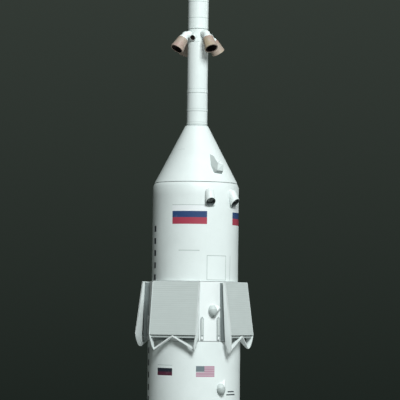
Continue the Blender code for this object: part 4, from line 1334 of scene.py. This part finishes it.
def build_studio():
    studio = settings()[2]
    place_camera(studio)
    soft_light("key_light", 40, 39, 2.2, 0.7, studio.key, (0.93, 1.0, 1.0))
    soft_light("side_light", 110, 12, 2.2, 1.2, studio.side, (0.92, 1.0, 1.0))
    floor_mesh = bmesh.new()
    bmesh.ops.create_circle(floor_mesh, cap_ends=True, segments=96, radius=3.2)
    mesh = bpy.data.meshes.new("studio_floor")
    floor_mesh.to_mesh(mesh)
    floor_mesh.free()
    mesh.materials.append(floor_finish("studio_floor", tuple(studio.floor)))
    floor = bpy.data.objects.new("studio_floor", mesh)
    bpy.context.scene.collection.objects.link(floor)
    world = bpy.data.worlds.new("studio")
    bpy.context.scene.world = world
    world.use_nodes = True
    nodes, links = world.node_tree.nodes, world.node_tree.links
    place = nodes.new("ShaderNodeTexCoord")
    split = nodes.new("ShaderNodeSeparateXYZ")
    links.new(place.outputs["Generated"], split.inputs["Vector"])
    span = nodes.new("ShaderNodeMapRange")
    span.inputs["From Min"].default_value = -0.06
    span.inputs["From Max"].default_value = 0.16
    links.new(split.outputs["Z"], span.inputs["Value"])
    mix = nodes.new("ShaderNodeMix")
    mix.data_type = "RGBA"
    links.new(span.outputs["Result"], mix.inputs["Factor"])
    ends = [s for s in mix.inputs if s.type == "RGBA"]
    ends[0].default_value = (*studio.backdrop_low, 1)
    ends[1].default_value = (*studio.backdrop_high, 1)
    links.new(next(s for s in mix.outputs if s.type == "RGBA"), nodes["Background"].inputs["Color"])
    bpy.context.scene.view_settings.view_transform = "Standard"


# Add-on


class CARDROCKET_OT_tower(bpy.types.Operator):
    """Build the escape tower"""
    bl_idname = "card_rocket.tower"
    bl_label = "Escape Tower"

    def execute(self, context):
        build_tower()
        return {"FINISHED"}


class CARDROCKET_OT_escape_nozzles(bpy.types.Operator):
    """Build the four canted escape nozzles"""
    bl_idname = "card_rocket.escape_nozzles"
    bl_label = "Escape Nozzles"

    def execute(self, context):
        build_escape_nozzles()
        return {"FINISHED"}


class CARDROCKET_OT_cone(bpy.types.Operator):
    """Build the fairing's cone and the periscope cover"""
    bl_idname = "card_rocket.cone"
    bl_label = "Fairing Cone"

    def execute(self, context):
        build_cone()
        return {"FINISHED"}


class CARDROCKET_OT_upper_fairing(bpy.types.Operator):
    """Build the printed upper fairing and its scoops"""
    bl_idname = "card_rocket.upper_fairing"
    bl_label = "Upper Fairing"

    def execute(self, context):
        build_upper_fairing()
        return {"FINISHED"}


class CARDROCKET_OT_band(bpy.types.Operator):
    """Build the band behind the grid fins with its pads"""
    bl_idname = "card_rocket.band"
    bl_label = "Fin Band"

    def execute(self, context):
        build_band()
        return {"FINISHED"}


class CARDROCKET_OT_trays(bpy.types.Operator):
    """Build the four folded grid fins"""
    bl_idname = "card_rocket.trays"
    bl_label = "Grid Fins"

    def execute(self, context):
        build_trays()
        return {"FINISHED"}


class CARDROCKET_OT_lower_fairing(bpy.types.Operator):
    """Build the printed lower fairing, its taper and the thrusters"""
    bl_idname = "card_rocket.lower_fairing"
    bl_label = "Lower Fairing"

    def execute(self, context):
        build_lower_fairing()
        return {"FINISHED"}


class CARDROCKET_OT_third_stage(bpy.types.Operator):
    """Build the third stage, its duct and its engine"""
    bl_idname = "card_rocket.third_stage"
    bl_label = "Third Stage"

    def execute(self, context):
        build_third_stage()
        return {"FINISHED"}


class CARDROCKET_OT_lattice(bpy.types.Operator):
    """Build the open truss between core and third stage"""
    bl_idname = "card_rocket.lattice"
    bl_label = "Lattice"

    def execute(self, context):
        build_lattice()
        return {"FINISHED"}


class CARDROCKET_OT_core(bpy.types.Operator):
    """Build the core, its belt, ducts and engine"""
    bl_idname = "card_rocket.core"
    bl_label = "Core"

    def execute(self, context):
        build_core()
        return {"FINISHED"}


class CARDROCKET_OT_boosters(bpy.types.Operator):
    """Build the four boosters"""
    bl_idname = "card_rocket.boosters"
    bl_label = "Boosters"

    def execute(self, context):
        build_boosters()
        return {"FINISHED"}


class CARDROCKET_OT_studio(bpy.types.Operator):
    """Set up the camera, lights, backdrop and floor"""
    bl_idname = "card_rocket.studio"
    bl_label = "Studio"

    def execute(self, context):
        build_studio()
        return {"FINISHED"}


STEPS = (
    CARDROCKET_OT_studio, CARDROCKET_OT_tower, CARDROCKET_OT_escape_nozzles, CARDROCKET_OT_cone,
    CARDROCKET_OT_upper_fairing, CARDROCKET_OT_band, CARDROCKET_OT_trays, CARDROCKET_OT_lower_fairing,
    CARDROCKET_OT_third_stage, CARDROCKET_OT_lattice, CARDROCKET_OT_core, CARDROCKET_OT_boosters,
)


class CARDROCKET_PT_build(bpy.types.Panel):
    """Buttons and settings of the card rocket"""
    bl_label = "Card Rocket"
    bl_idname = "CARDROCKET_PT_build"
    bl_space_type = "VIEW_3D"
    bl_region_type = "UI"
    bl_category = "Card Rocket"

    def draw(self, context):
        layout = self.layout
        for step in STEPS:
            layout.operator(step.bl_idname)
        for group in (context.scene.rocket_colours, context.scene.rocket_sizes, context.scene.rocket_studio):
            box = layout.box()
            for key in group.__annotations__:
                box.prop(group, key)


CLASSES = (CardColours, CardSizes, StudioSettings, *STEPS, CARDROCKET_PT_build)


def register():
    for cls in CLASSES:
        bpy.utils.register_class(cls)
    bpy.types.Scene.rocket_colours = PointerProperty(type=CardColours)
    bpy.types.Scene.rocket_sizes = PointerProperty(type=CardSizes)
    bpy.types.Scene.rocket_studio = PointerProperty(type=StudioSettings)


def unregister():
    del bpy.types.Scene.rocket_studio
    del bpy.types.Scene.rocket_sizes
    del bpy.types.Scene.rocket_colours
    for cls in reversed(CLASSES):
        bpy.utils.unregister_class(cls)


def main():
    register()
    for step in STEPS:
        group, name = step.bl_idname.split(".")
        getattr(getattr(bpy.ops, group), name)()


if __name__ == "__main__":
    main()
